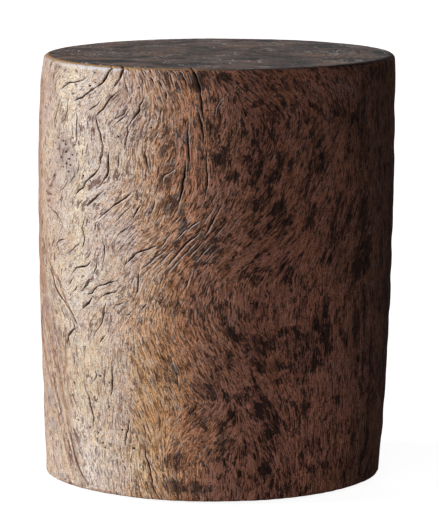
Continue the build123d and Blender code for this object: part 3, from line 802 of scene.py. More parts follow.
    def fields(self, places: np.ndarray) -> np.ndarray:
        """How deep in a patch places on the unrolled wall lie.

        Each patch is one less the squared distance from its middle, in its half width and height,
        times its strength. A streak is the same with the distance from its line, in the picture.
        The largest of each side counts.

        Args:
            places: The places, one row each.

        Returns:
            One column for each side, from minus one far away up to the strength.
        """
        depth = -np.ones((len(places), len(Side)))
        patches = [(side.value, *row) for side in Side for row in getattr(self, side.name.lower())]
        for column, u, v, half_width, half_height, strength in patches:
            corners = np.array([(u, v), (u - half_width, v), (u, v - half_height), (u, v + half_height)])
            middle, left, upper, lower = self.block.meet(self.camera, corners)
            reach = np.maximum([middle[0] - left[0], (upper[1] - lower[1]) / 2], self.least_reach)
            inside = 1 - (((places - middle) / reach) ** 2).sum(axis=1)
            depth[:, column] = np.maximum(depth[:, column], np.clip(inside, -1, 1) * strength)
        azimuth, way = (places * MILLIMETRE).T
        azimuth = azimuth / self.block.mean_radius
        shown = self.camera.pixels(self.block.place(azimuth, way, 0 * way))
        for side, half_width, strength, *pixels in self.streaks:
            line = CheckLine(np.reshape(pixels, (-1, 2)).astype(float), np.ones(len(pixels) // 2), 0.0)
            low, high = line.points.min(axis=0) - 2 * half_width, line.points.max(axis=0) + 2 * half_width
            near = np.flatnonzero((np.abs(azimuth) < pi / 2) & ((shown > low) & (shown < high)).all(axis=1))
            distance, _ = line.nearest(shown[near])
            inside = np.clip(1 - (distance / half_width) ** 2, -1, 1) * strength
            depth[near, side.value] = np.maximum(depth[near, side.value], inside)
        return depth


class Value:
    """What a node puts out, so that a finish reads as plain sums.

    Each sum makes a Math node. A product waits for its first use, so that a product plus a term
    is made as one node.
    """

    def __init__(self, wiring: "Wiring", socket: bpy.types.NodeSocket | None, factors: tuple = ()) -> None:
        """Keeps the socket, or the two factors of a product that has none yet.

        Args:
            wiring: The wiring that its sums are added to.
            socket: The socket, or None where a product waits.
            factors: The two factors of a waiting product.
        """
        self.wiring = wiring
        self.made = socket
        self.factors = factors

    @property
    def socket(self) -> bpy.types.NodeSocket:
        """The socket, which a waiting product makes now."""
        self.made = self.made or self.wiring.math("MULTIPLY", *self.factors).made
        return self.made

    def __mul__(self, other: object) -> "Value":
        """The product with a number or, where the other is a plain vector, part by part.

        Args:
            other: The other factor.

        Returns:
            The product.
        """
        if isinstance(other, tuple):
            return self.wiring.vector("MULTIPLY", self, other)
        return Value(self.wiring, None, (self, other))

    def __add__(self, other: object) -> "Value":
        """The sum, made as one node with the product that either may be.

        Args:
            other: The other term.

        Returns:
            The sum.
        """
        product, term = (self, other) if self.factors else (other, self)
        if isinstance(product, Value) and product.factors:
            return self.wiring.math("MULTIPLY_ADD", *product.factors, term)
        return self.wiring.math("ADD", self, other)

    def __sub__(self, other: object) -> "Value":
        """The difference."""
        return self.wiring.math("SUBTRACT", self, other)

    def __rsub__(self, other: object) -> "Value":
        """The difference from a number."""
        return self.wiring.math("SUBTRACT", other, self)

    def __truediv__(self, other: object) -> "Value":
        """The quotient."""
        return self.wiring.math("DIVIDE", self, other)

    def __abs__(self) -> "Value":
        """The size without the sign."""
        return self.wiring.math("ABSOLUTE", self)

    def highest(self, other: object) -> "Value":
        """The higher of two numbers."""
        return self.wiring.math("MAXIMUM", self, other)

    def ramp(self, low: float, high: float, to_low: float = 0.0, to_high: float = 1.0) -> "Value":
        """The number carried softly from one range to another, and held beyond its ends."""
        made = self.wiring.node("ShaderNodeMapRange", interpolation_type="SMOOTHSTEP")
        return self.wiring.filled(made, self, low, high, to_low, to_high)

    def mix(self, first: object, second: object) -> "Value":
        """Two colours mixed by this share."""
        return self.wiring.mix(self, first, second)


@dataclass
class Wiring:
    """Adds nodes to one node tree and joins them."""

    tree: bpy.types.NodeTree

    def node(self, kind: str, **settings: object) -> bpy.types.Node:
        """A new node of a kind, with its settings.

        Args:
            kind: The node's type.
            settings: Its settings, by name.

        Returns:
            The node.
        """
        made = self.tree.nodes.new(kind)
        for name, value in settings.items():
            setattr(made, name, value)
        return made

    def put(self, socket: bpy.types.NodeSocket, value: object) -> None:
        """Joins a value to a socket, or sets the socket's own number, vector or colour.

        Args:
            socket: The input's socket.
            value: What goes into it.
        """
        if isinstance(value, Value):
            self.tree.links.new(value.socket, socket)
        else:
            socket.default_value = (*value, 1.0) if socket.type == "RGBA" else value

    def filled(self, made: bpy.types.Node, *values: object) -> Value:
        """A node's first output, once its inputs are filled in turn.

        Args:
            made: The node.
            values: What goes into its inputs, in turn.

        Returns:
            The first output.
        """
        for socket, value in zip(made.inputs, values):
            self.put(socket, value)
        return Value(self, made.outputs[0])

    def math(self, operation: str, *values: object, clamp: bool = False) -> Value:
        """The result of a sum on numbers."""
        return self.filled(self.node("ShaderNodeMath", operation=operation, use_clamp=clamp), *values)

    def vector(self, operation: str, *values: object) -> Value:
        """The result of a sum on vectors.

        Args:
            operation: Which sum it is.
            values: What goes into it.

        Returns:
            The result.
        """
        made = self.node("ShaderNodeVectorMath", operation=operation)
        self.filled(made, *values)
        return Value(self, made.outputs["Value" if operation in ("LENGTH", "DOT_PRODUCT") else "Vector"])

    def parts(self, vector: Value) -> list[Value]:
        """The three numbers of a vector.

        Args:
            vector: The vector.

        Returns:
            Its three numbers.
        """
        made = self.node("ShaderNodeSeparateXYZ")
        self.filled(made, vector)
        return [Value(self, socket) for socket in made.outputs]

    def joined(self, *values: object) -> Value:
        """The vector of three numbers."""
        return self.filled(self.node("ShaderNodeCombineXYZ"), *values)

    def mix(self, share: object, first: object, second: object, blend: str = "MIX") -> Value:
        """Two colours mixed by a share.

        Args:
            share: The second colour's share.
            first: The first colour.
            second: The second colour.
            blend: How the second is laid over the first.

        Returns:
            The mixed colour.
        """
        made = self.node("ShaderNodeMix", data_type="RGBA", blend_type=blend)
        for number, value in ((0, share), (6, first), (7, second)):
            self.put(made.inputs[number], value)
        return Value(self, made.outputs[2])

    def stops(self, value: Value, colours: tuple[tuple[float, Colour], ...]) -> Value:
        """A colour that changes evenly between those at given values.

        Args:
            value: The value.
            colours: The given values and their colours.

        Returns:
            The colour.
        """
        made = self.node("ShaderNodeValToRGB")
        elements = made.color_ramp.elements
        while len(elements) < len(colours):
            elements.new(1.0)
        for element, (position, colour) in zip(elements, colours):
            element.position = position
            element.color = (*colour, 1.0)
        return self.filled(made, value)

    def noise(
        self, place: Value, scale: float = 1.0, detail: float = 2.0, rough: float = 0.5, twist: float = 0.0
    ) -> Value:
        """Cloudy noise from nothing to one.

        Args:
            place: Where the noise is read.
            scale: How many clouds there are to a unit.
            detail: How many finer noises are laid over it.
            rough: How strong the finer ones are.
            twist: How far the clouds are distorted.

        Returns:
            The noise.
        """
        made = self.node("ShaderNodeTexNoise")
        names = ("Vector", "Scale", "Detail", "Roughness", "Distortion")
        for name, value in zip(names, (place, scale, detail, rough, twist)):
            self.put(made.inputs[name], value)
        return Value(self, made.outputs[0])

    def attribute(self, name: str) -> Value:
        """A vector that the mesh holds at its points."""
        return Value(self, self.node("ShaderNodeAttribute", attribute_name=name).outputs["Vector"])

    def group(self, tree: bpy.types.NodeTree, **values: Value) -> dict[str, Value]:
        """Places a node group and returns its outputs by name.

        Args:
            tree: The group's node tree.
            values: What goes into its inputs, by name.

        Returns:
            The outputs, by name.
        """
        made = self.node("ShaderNodeGroup", node_tree=tree)
        for name, value in values.items():
            self.put(made.inputs[name], value)
        return {socket.name: Value(self, socket) for socket in made.outputs}


def new_group(name: str, **inputs: str) -> tuple[Wiring, dict[str, Value]]:
    """Starts a shader node group, and returns its wiring and its inputs by name.

    Args:
        name: The group's name.
        inputs: The kind of each input, by its label.

    Returns:
        The group's wiring and its inputs.
    """
    wiring = Wiring(bpy.data.node_groups.new(name, "ShaderNodeTree"))
    for label, kind in inputs.items():
        wiring.tree.interface.new_socket(name=label, in_out="INPUT", socket_type=f"NodeSocket{kind}")
    entry = wiring.node("NodeGroupInput")
    return wiring, {label: Value(wiring, entry.outputs[label]) for label in inputs}


def ended_group(wiring: Wiring, **results: Value) -> bpy.types.NodeTree:
    """Ends a shader node group with its results, and returns it.

    Args:
        wiring: The group's wiring.
        results: What each output gives, by its label.

    Returns:
        The group's node tree.
    """
    for label in results:
        wiring.tree.interface.new_socket(name=label, in_out="OUTPUT", socket_type="NodeSocketFloat")
    leave = wiring.node("NodeGroupOutput")
    for label, value in results.items():
        wiring.put(leave.inputs[label], value)
    return wiring.tree


def check_group() -> bpy.types.NodeTree:
    """Draws one layer of checks from the mesh's distances.

    The core is dark where the distance is under the half width. The lip is a pale band beside it
    on the right, partly a weathered edge and partly a painted highlight where the crack's wall
    faces the key light, and the shade is a brown band of painted shade on the left, where the
    wall faces away. The depth falls to the core's middle.

    Returns:
        The group's node tree.
    """
    wiring, given = new_group("drying_checks", line="Vector", rag="Float")
    distance, half_width, pale = wiring.parts(given["line"])
    gap = abs(distance) - half_width + given["rag"]
    core = gap.ramp(0.2, -0.15)
    clear = 1.0 - core
    lip = gap.ramp(1.25, 0.45) * clear * distance.ramp(0.0, 0.4) * (pale * 0.7 + 0.3)
    shade = gap.ramp(1.3, 0.1) * distance.ramp(0.2, -0.3) * clear
    return ended_group(wiring, core=core, lip=lip, shade=shade, depth=gap.ramp(0.4, -0.4))


def fibre_group() -> bpy.types.NodeTree:
    """Wood fibres that run along a field of turns.

    Eight cloudy noises, each drawn out along its own turn, are summed with weights that peak where
    the fibres have that turn. The sum is divided by the root of the summed squares of the weights,
    so that it is equally strong everywhere. The upright noise lies on the round wall, and so has no
    seam behind. The line is the thin ridge where a longer such sum crosses its middle.

    Returns:
        The group's node tree.
    """
    wiring, given = new_group("wood_fibre", flat="Vector", round="Vector", turn="Vector")
    turned = wiring.vector("NORMALIZE", given["turn"])
    # The width and length of the fibres in millimetres, their detail and their roughness
    sizes = {
        "fibre": (2.0, 12.0, 2.0, 0.6),
        "stroke": (2.6, 10.0, 1.0, 0.5),
        "band": (8.0, 22.0, 4.0, 0.62),
        "line": (8.0, 34.0, 2.0, 0.6),
    }
    sums = {label: 0.0 for label in sizes}
    squares = 0.0
    for number in range(-3, 5):
        turn = radians(22.5 * number)
        sine, cosine = sin(turn), cos(turn)
        aligned = wiring.vector("DOT_PRODUCT", turned, (cos(2 * turn), sin(2 * turn), 0.0))
        weight = aligned.ramp(cos(radians(45)), 1.0)
        squares = weight * weight + squares
        for label, (width, length, detail, rough) in sizes.items():
            across = wiring.vector("DOT_PRODUCT", given["flat"], (cosine / width, -sine / width, 0.0))
            along = wiring.vector("DOT_PRODUCT", given["flat"], (sine / length, cosine / length, 0.0))
            place = wiring.joined(across, 7.3 * number, along)
            if not number:
                place = wiring.vector("DIVIDE", given["round"], (width, width, length))
            sums[label] = (wiring.noise(place, detail=detail, rough=rough) - 0.5) * weight + sums[label]
    root = wiring.math("SQRT", squares)
    shares = {label: total / root for label, total in sums.items()}
    ridge = abs(shares.pop("line")).ramp(0.026, 0.006)
    kept = wiring.noise(given["round"], scale=0.045).ramp(0.46, 0.56)
    return ended_group(wiring, **{label: share + 0.5 for label, share in shares.items()}, line=ridge * kept)


class Coating:
    """A new material with its Principled surface, its wiring and the place on the object."""

    def __init__(self, name: str) -> None:
        """Starts the material.

        Args:
            name: The material's name.
        """
        self.material = bpy.data.materials.new(name)
        self.material.use_nodes = True
        self.wiring = Wiring(self.material.node_tree)
        self.surface = self.material.node_tree.nodes["Principled BSDF"]
        self.place = Value(self.wiring, self.wiring.node("ShaderNodeTexCoord").outputs["Object"])

    def dress(self, height: Value, depth: float, **inputs: object) -> bpy.types.Material:
        """Raises the surface by a height times a depth, sets its inputs and returns the material.

        Args:
            height: The height.
            depth: The depth that a height of one stands for.
            inputs: What goes into the surface's inputs, by name.

        Returns:
            The material.
        """
        bump = self.wiring.node("ShaderNodeBump")
        bump.inputs["Strength"].default_value = 1.0
        bump.inputs["Distance"].default_value = depth
        self.wiring.put(bump.inputs["Height"], height)
        self.wiring.put(self.surface.inputs["Normal"], Value(self.wiring, bump.outputs["Normal"]))
        for name, value in inputs.items():
            self.wiring.put(self.surface.inputs[name.replace("_", " ")], value)
        return self.material


@dataclass(frozen=True)
class TeakFinish:
    """Old, unsealed teak: pale tan on the left, partly bleached and partly painted sheen, red brown
    on the right, darkening to painted shade at the right edge, and dark on its sawn ends.

    The wall's colours stand at shares of the block's width, from the left to the right.
    """

    wall_stops: tuple[tuple[float, Colour], ...] = (
        (0.02, (0.595, 0.46, 0.373)),
        # The palest stops, on the left, are partly bleached wood and partly painted sheen.
        (0.12, (0.81, 0.71, 0.585)),
        (0.235, (0.76, 0.61, 0.525)),
        (0.325, (0.79, 0.505, 0.345)),
        (0.425, (0.675, 0.33, 0.199)),
        (0.53, (0.545, 0.26, 0.185)),
        (0.62, (0.415, 0.178, 0.124)),
        (0.74, (0.422, 0.180, 0.125)),
        (0.83, (0.375, 0.163, 0.117)),
        # The last two stops are painted shade: the wall darkens towards the right edge.
        (0.92, (0.238, 0.117, 0.085)),
        (1.0, (0.17, 0.085, 0.063)),
    )
    # How strongly the tone and the hue's noise change red, green and blue
    tone_shares: Colour = (0.62, 1.0, 1.45)
    hue_shares: Colour = (0.3, 0.0, -0.55)
    warm_tint: Colour = (1.025, 0.98, 0.905)
    cool_tint: Colour = (1.005, 0.98, 0.99)
    ochre_tint: Colour = (1.04, 0.98, 0.80)
    rust_speck: Colour = (0.40, 0.165, 0.07)
    # Dark fibres: partly dark grain and partly painted shade beside raised fibres.
    dark_fibre: Colour = (0.25, 0.115, 0.06)
    brown_stain: Colour = (0.16, 0.085, 0.070)
    umber: Colour = (0.085, 0.040, 0.032)
    black_stain: Colour = (0.028, 0.020, 0.020)
    grey_bloom: Colour = (0.40, 0.36, 0.36)
    # The shaded bloom is painted shade: the grey bloom darkened for the shaded right.
    shaded_bloom: Colour = (0.30, 0.25, 0.25)
    pale_streak: Colour = (0.46, 0.265, 0.175)
    # Pale fibres: partly pale grain and partly painted highlight on raised fibres.
    pale_fibre: Colour = (0.84, 0.74, 0.65)
    brown_streak: Colour = (0.34, 0.17, 0.10)
    thin_line: Colour = (0.14, 0.06, 0.03)
    crack: Colour = (0.018, 0.010, 0.008)
    # Check lips: partly a weathered edge and partly painted highlight; the shaded copy is painted shade.
    lip: Colour = (0.82, 0.77, 0.78)
    shaded_lip: Colour = (0.50, 0.39, 0.37)
    # A painted highlight on the rounded rim at the front left.
    painted_rim_highlight: Colour = (0.80, 0.79, 0.82)
    sawn: Colour = (0.225, 0.162, 0.140)
    sawn_dark: Colour = (0.042, 0.047, 0.051)
    sawn_red: Colour = (0.37, 0.205, 0.145)
    sawn_pale: Colour = (0.60, 0.56, 0.53)
    rim_line: Colour = (0.55, 0.30, 0.12)
    specular_level: float = 0.01
    grit_scale: float = 760.0
    pith: tuple[float, float, float] = (-0.030, 0.0, 0.0)
    ring_width: float = 0.0075


class TeakCoats(Coating):
    """Lays the teak's finish coat by coat, each over the colour so far."""

    def __init__(self, finish: TeakFinish, block: BlockShape) -> None:
        """Starts the material, and finds what varies over the block.

        Args:
            finish: The teak's colours and sizes.
            block: The block's form.
        """
        super().__init__("teak")
        self.finish = finish
        wiring, place = self.wiring, self.place
        places = {label: wiring.attribute(label) for label in ("flat", "round", "turn")}
        fibres = wiring.group(fibre_group(), **places)
        self.fibre, self.stroke, self.band, self.line = fibres.values()
        self.pore = wiring.noise(place * (430.0, 430.0, 300.0), detail=1.0)
        self.grit = wiring.noise(place, scale=finish.grit_scale, detail=1.0, rough=0.6)
        self.busy = wiring.noise(place, scale=32.0, detail=3.0, rough=0.6).ramp(0.42, 0.56)
        across, self.along, self.height = wiring.parts(place)
        self.share = across * (0.5 / block.high[0]) + 0.5
        # The change from the lit left to the shaded right: colours mixed by it are partly the wood's own
        # colour and partly painted shade, and its shaded bloom and shaded lip are painted shade.
        self.side = self.share.ramp(0.15, 0.6)
        self.stains = wiring.parts(wiring.attribute("stains"))
        # How strong the fibres' marks, their painted shade and highlight, and their relief are: least on the
        # left, most in the middle, and raised in brown streaks.
        fibre_strength = self.share.ramp(0.16, 0.38, 0.32, 1.15) * self.share.ramp(0.5, 0.72, 1.0, 0.8)
        self.fibre_strength = fibre_strength.highest(self.stains[2].ramp(-0.8, 0.8, 0.0, 0.7))
        _, self.way, self.azimuth = wiring.parts(places["flat"])
        self.top_start = block.top_way / MILLIMETRE
        self.colour = self.wall_colour()

    def build(self, layer_count: int) -> bpy.types.Material:
        """Lays every coat for a mesh with so many layers of checks, and returns the material.

        Args:
            layer_count: How many layers of checks the mesh holds.

        Returns:
            The material.
        """
        pit = self.lay_fibres(self.lay_stains())
        self.lay_painted_rim_highlight()
        depth = self.lay_checks(layer_count)
        top_colour, top_mask, top_height = self.sawn_end()
        raised = self.fibre * (self.fibre_strength * 1.8 + 0.5) + (self.grit * 0.7 + pit * -0.6)
        relief = self.wiring.node("ShaderNodeMix", data_type="FLOAT")
        for number, value in ((0, top_mask), (2, depth * -1.2 + raised), (3, top_height)):
            self.wiring.put(relief.inputs[number], value)
        return self.dress(
            Value(self.wiring, relief.outputs[0]),
            MILLIMETRE,
            Base_Color=top_mask.mix(self.colour, top_colour),
            Roughness=self.band.ramp(0.3, 0.7, 1.0, 0.85),
            Specular_IOR_Level=self.finish.specular_level,
        )

    def wall_colour(self) -> Value:
        """The wall's colour before weathering: pale on the left, partly bleached and partly painted
        sheen, red brown on the right, with painted shade at the right edge and behind, and painted
        light and shade by height.

        Returns:
            The colour.
        """
        finish, wiring, place, share, height = self.finish, self.wiring, self.place, self.share, self.height
        cloud = wiring.noise(place, scale=18.0, detail=3.0) - 0.5
        # Painted shade: behind, the right side's colour is pushed further towards the dark stops.
        behind = self.along.ramp(-0.03, 0.08) * share.ramp(0.3, 0.7)
        colour = wiring.stops(cloud * 0.2 + (behind * 0.3 + share), finish.wall_stops)
        tint_noise = wiring.noise(place * (26.0, 26.0, 12.0), detail=4.0, rough=0.55)
        tint = tint_noise.ramp(0.40, 0.60).mix(finish.cool_tint, finish.warm_tint)
        colour = wiring.mix(1.0, colour, tint, "MULTIPLY")
        ochre = share.ramp(0.19, 0.31) * share.ramp(0.48, 0.36) * (cloud * 0.15 + height).ramp(0.24, 0.12)
        colour = ochre.mix(colour, wiring.mix(1.0, colour, finish.ochre_tint, "MULTIPLY"))
        tone = (self.fibre - 0.5) * (self.fibre_strength * 1.2 + 0.4) + (self.grit - 0.5) * 1.6
        tone = tone * share.ramp(0.10, 0.40, 0.68, 1.0) * share.ramp(0.35, 0.75, 1.0, 1.3) + 1.0
        # Painted light and shade by height: lighter just above the foot and a little lighter near the top,
        # and on the right lighter low down and darker higher up.
        upper = wiring.math("POWER", height.ramp(0.0, 0.40, 1.46, 0.84), share.ramp(0.45, 0.65))
        painted_light_by_height = upper.highest(height.ramp(0.03, 0.16, 1.14, 0.8)) * height.ramp(0.10, 0.35, 1.0, 1.09)
        tone = tone * self.band.ramp(0.3, 0.7, 0.90, 1.10) * painted_light_by_height - 1.0
        hue = self.stroke - 0.5
        parts = [
            tone * share.ramp(0.3, 0.6, by_tone, 1.0) + (hue * by_hue + 1.0)
            for by_tone, by_hue in zip(finish.tone_shares, finish.hue_shares)
        ]
        return wiring.mix(1.0, colour, wiring.joined(*parts), "MULTIPLY")

    def lay_stains(self) -> Value:
        """Lays brown streaks, grey bloom with a painted highlight along the root's fold, and dark stains with
        painted shade along the right edge, and returns the mask of the dark ones.

        Returns:
            The mask, from nothing to one.
        """
        finish, wiring, side = self.finish, self.wiring, self.side
        dark, grey, brown = self.stains
        cloud = wiring.noise(self.place, scale=150.0, detail=4.0, rough=0.7, twist=0.4) - 0.5
        hairs, band = self.fibre - 0.5, self.band - 0.5
        edge = (self.grit - 0.5) * 1.2 + (hairs * 3.5 + cloud * 2.0)
        streak = side.mix(finish.pale_streak, finish.brown_streak)
        colour = (brown + edge).ramp(0.0, 0.9, 0.0, 0.75).mix(self.colour, streak)
        wide_cloud = wiring.noise(self.place * (45.0, 45.0, 30.0), detail=3.0, rough=0.6)
        bloomed = (grey.highest(wide_cloud * 6.0 + -4.2) + edge).ramp(0.0, 1.2, 0.0, 0.55)
        colour = bloomed.mix(colour, side.mix(finish.grey_bloom, finish.shaded_bloom))
        level = self.busy * 1.3 + side.ramp(0.3, 1.0, -3.3, -1.65) - self.height.ramp(0.405, 0.43, 0.0, 1.1)
        mottled = band * 7.0 + level
        wide = (cloud * 2.5 + dark).highest(mottled + 0.7).ramp(-0.7, 0.8)
        colour = (wide * 0.45).mix(colour, side.mix(finish.brown_stain, finish.umber))
        broken = hairs * 5.0 + (band * 5.0 + cloud * 2.5)
        spread = ((dark + 1.0) * broken + (dark * 0.8 + -0.3)).highest(mottled + edge)
        black = side.mix(finish.brown_stain, finish.black_stain)
        self.colour = spread.ramp(0.0, 0.3, 0.0, 0.93).mix(colour, black)
        return wide

    def lay_fibres(self, stain: Value) -> Value:
        """Lays dark and pale fibres, partly grain colour and partly painted relief shade and highlight,
        thin lines, rust and open pores, and returns the pores' mask.

        Args:
            stain: The dark stains' mask.

        Returns:
            The mask, from nothing to one.
        """
        finish, side, fibre_strength, fibre = self.finish, self.side, self.fibre_strength, self.fibre
        amount = fibre_strength * (self.busy * 0.6 + 0.4)
        # Dark and pale fibres: partly the grain's colour and partly painted shade and highlight of raised
        # fibres.
        dark = fibre.ramp(0.48, 0.36, 0.0, 0.85) * amount
        shown = self.wiring.math("MULTIPLY_ADD", stain, -0.5, side.ramp(0.5, 1.0, 1.0, 0.55), clamp=True)
        light = fibre.ramp(0.55, 0.64, 0.0, 0.75) * amount * shown
        colour = dark.mix(self.colour, side.mix(finish.dark_fibre, finish.black_stain))
        colour = light.mix(colour, side.mix(finish.pale_fibre, finish.shaded_bloom))
        colour = (self.line * 0.6).mix(colour, finish.thin_line)
        rust = self.grit.ramp(0.41, 0.34) * side.ramp(0.8, 0.1, 0.1, 0.7)
        colour = rust.mix(colour, finish.rust_speck)
        pit = (self.pore + side.ramp(0.0, 0.8, 0.028, -0.018)).ramp(0.29, 0.26)
        dash = (stain * -0.05 + (self.busy * -0.04 + self.stroke)).ramp(0.33, 0.29)
        marks = (dash * self.wiring.math("MINIMUM", fibre_strength, 0.8)).highest(pit)
        self.colour = (marks * 0.9).mix(colour, side.mix(finish.thin_line, finish.crack))
        return pit

    def lay_painted_rim_highlight(self) -> None:
        """Paints a pale highlight on the rim's rounding at the front left, where it faces the key light."""
        start, way, azimuth = self.top_start, self.way, self.azimuth
        band = way.ramp(start - 11.5, start - 6.5) * way.ramp(start - 2.4, start - 3.6)
        reach = azimuth.ramp(-1.3, -0.95) * azimuth.ramp(-0.42, -0.6)
        patchy = self.band + (self.fibre - self.grit)
        # The painted highlight's mask, patchy along the rim.
        worn = (band * reach * 0.8 + patchy).ramp(0.85, 1.5, 0.0, 0.9)
        self.colour = worn.mix(self.colour, self.finish.painted_rim_highlight)

    def lay_checks(self, layer_count: int) -> Value:
        """Darkens the checks, pales their lips with a partly painted highlight, lays painted shade
        beside them, and returns their depth.

        Args:
            layer_count: How many layers of checks the mesh holds.

        Returns:
            The depth, from nothing to one.
        """
        finish, tree, rag = self.finish, check_group(), (self.grit - 0.5) * 1.2
        # Lips: partly weathered edges and partly painted highlight, with a shaded copy on the right that is
        # painted shade; the shade coat is painted shade on the crack's left wall.
        lip = self.side.mix(finish.lip, finish.shaded_lip)
        coats = (("lip", 0.85, lip), ("shade", 0.75, finish.brown_streak), ("core", 0.97, finish.crack))
        depth = 0.0
        for layer in range(1, layer_count + 1):
            drawn = self.wiring.group(tree, line=self.wiring.attribute(f"checks_{layer}"), rag=rag)
            for name, share, paint in coats:
                self.colour = (drawn[name] * share).mix(self.colour, paint)
            depth = drawn["depth"].highest(depth)
        return depth

    def sawn_end(self) -> tuple[Value, Value, Value]:
        """The sawn top: growth rings round an off-centre pith, drawn out, worn and dirtied.

        Returns:
            The colour, the top's mask and its height.
        """
        finish, wiring, place, way, start = self.finish, self.wiring, self.place, self.way, self.top_start
        ragged = (wiring.noise(place, scale=60.0) - 0.5) * 0.9
        warp = wiring.noise(place, scale=14.0, detail=3.0, rough=0.6)
        radius = wiring.vector("LENGTH", wiring.vector("SUBTRACT", place, finish.pith) * (1.0, 1.0, 0.0))
        rings = wiring.math("SINE", (warp * 0.06 + radius) * (2 * pi / finish.ring_width))
        warped = wiring.vector("ADD", place, wiring.joined(0.0, warp * 0.16, 0.0))
        blotch = wiring.noise(warped * (14.0, 40.0, 0.0), detail=4.0, rough=0.6, twist=0.7)
        red = wiring.noise(warped * (12.0, 54.0, 0.0), detail=5.0, rough=0.66, twist=0.8)
        scratch = wiring.noise(warped * (42.0, 60.0, 0.0), detail=3.0, rough=0.6, twist=0.8)
        kept = wiring.noise(place, scale=38.0).ramp(0.5, 0.6)
        scratch = abs(scratch - 0.5).ramp(0.022, 0.004) * kept
        specks = wiring.noise(place * (420.0, 230.0, 0.0), rough=0.6)
        edge = ragged * 0.5 + (way - start)
        line = edge.ramp(-3.4, -2.4) * edge.ramp(1.4, 0.2)
        coats = (
            (red.ramp(0.51, 0.66, 0.0, 0.85), finish.sawn_red),
            (red.ramp(0.48, 0.32, 0.0, 0.8), finish.sawn_dark),
            (rings.ramp(0.0, 1.0, 0.0, 0.5), finish.sawn_dark),
            (scratch * 0.9, finish.sawn_pale),
            (specks.ramp(0.66, 0.76, 0.0, 0.6), finish.sawn_pale),
            (line * 0.85, self.azimuth.ramp(-0.35, 0.25).mix(finish.rim_line, finish.sawn_dark)),
        )
        colour = blotch.ramp(0.34, 0.58).mix(finish.sawn_dark, finish.sawn)
        for share, paint in coats:
            colour = share.mix(colour, paint)
        mask = (way + ragged).ramp(start - 1.6, start - 0.9).highest(line * 0.8)
        return colour, mask, (red + specks) * 0.5 + scratch * -0.3


@dataclass(frozen=True)
class PlainFinish:
    """A plain body colour with wear or tarnish in patches, and a fine relief."""

    name: str
    body: Colour
    worn: Colour
    # How many patches and grains there are to the metre, along each axis
    patches: tuple[float, float, float]
    grain: tuple[float, float, float]
    grain_depth: float
    patch_rough: float
    patch_ramp: tuple[float, ...]
    roughness: tuple[float, float]
    metallic: float
    specular_level: float

    def build(self) -> bpy.types.Material:
        """Makes the finish's material.

        Returns:
            The material.
        """
        coat = Coating(self.name)
        patch = coat.wiring.noise(coat.place * self.patches, detail=4.0, rough=self.patch_rough)
        return coat.dress(
            coat.wiring.noise(coat.place * self.grain),
            self.grain_depth,
            Base_Color=patch.ramp(*self.patch_ramp).mix(self.body, self.worn),
            Roughness=patch.ramp(0.3, 0.7, *self.roughness),
            Metallic=self.metallic,
            Specular_IOR_Level=self.specular_level,
        )


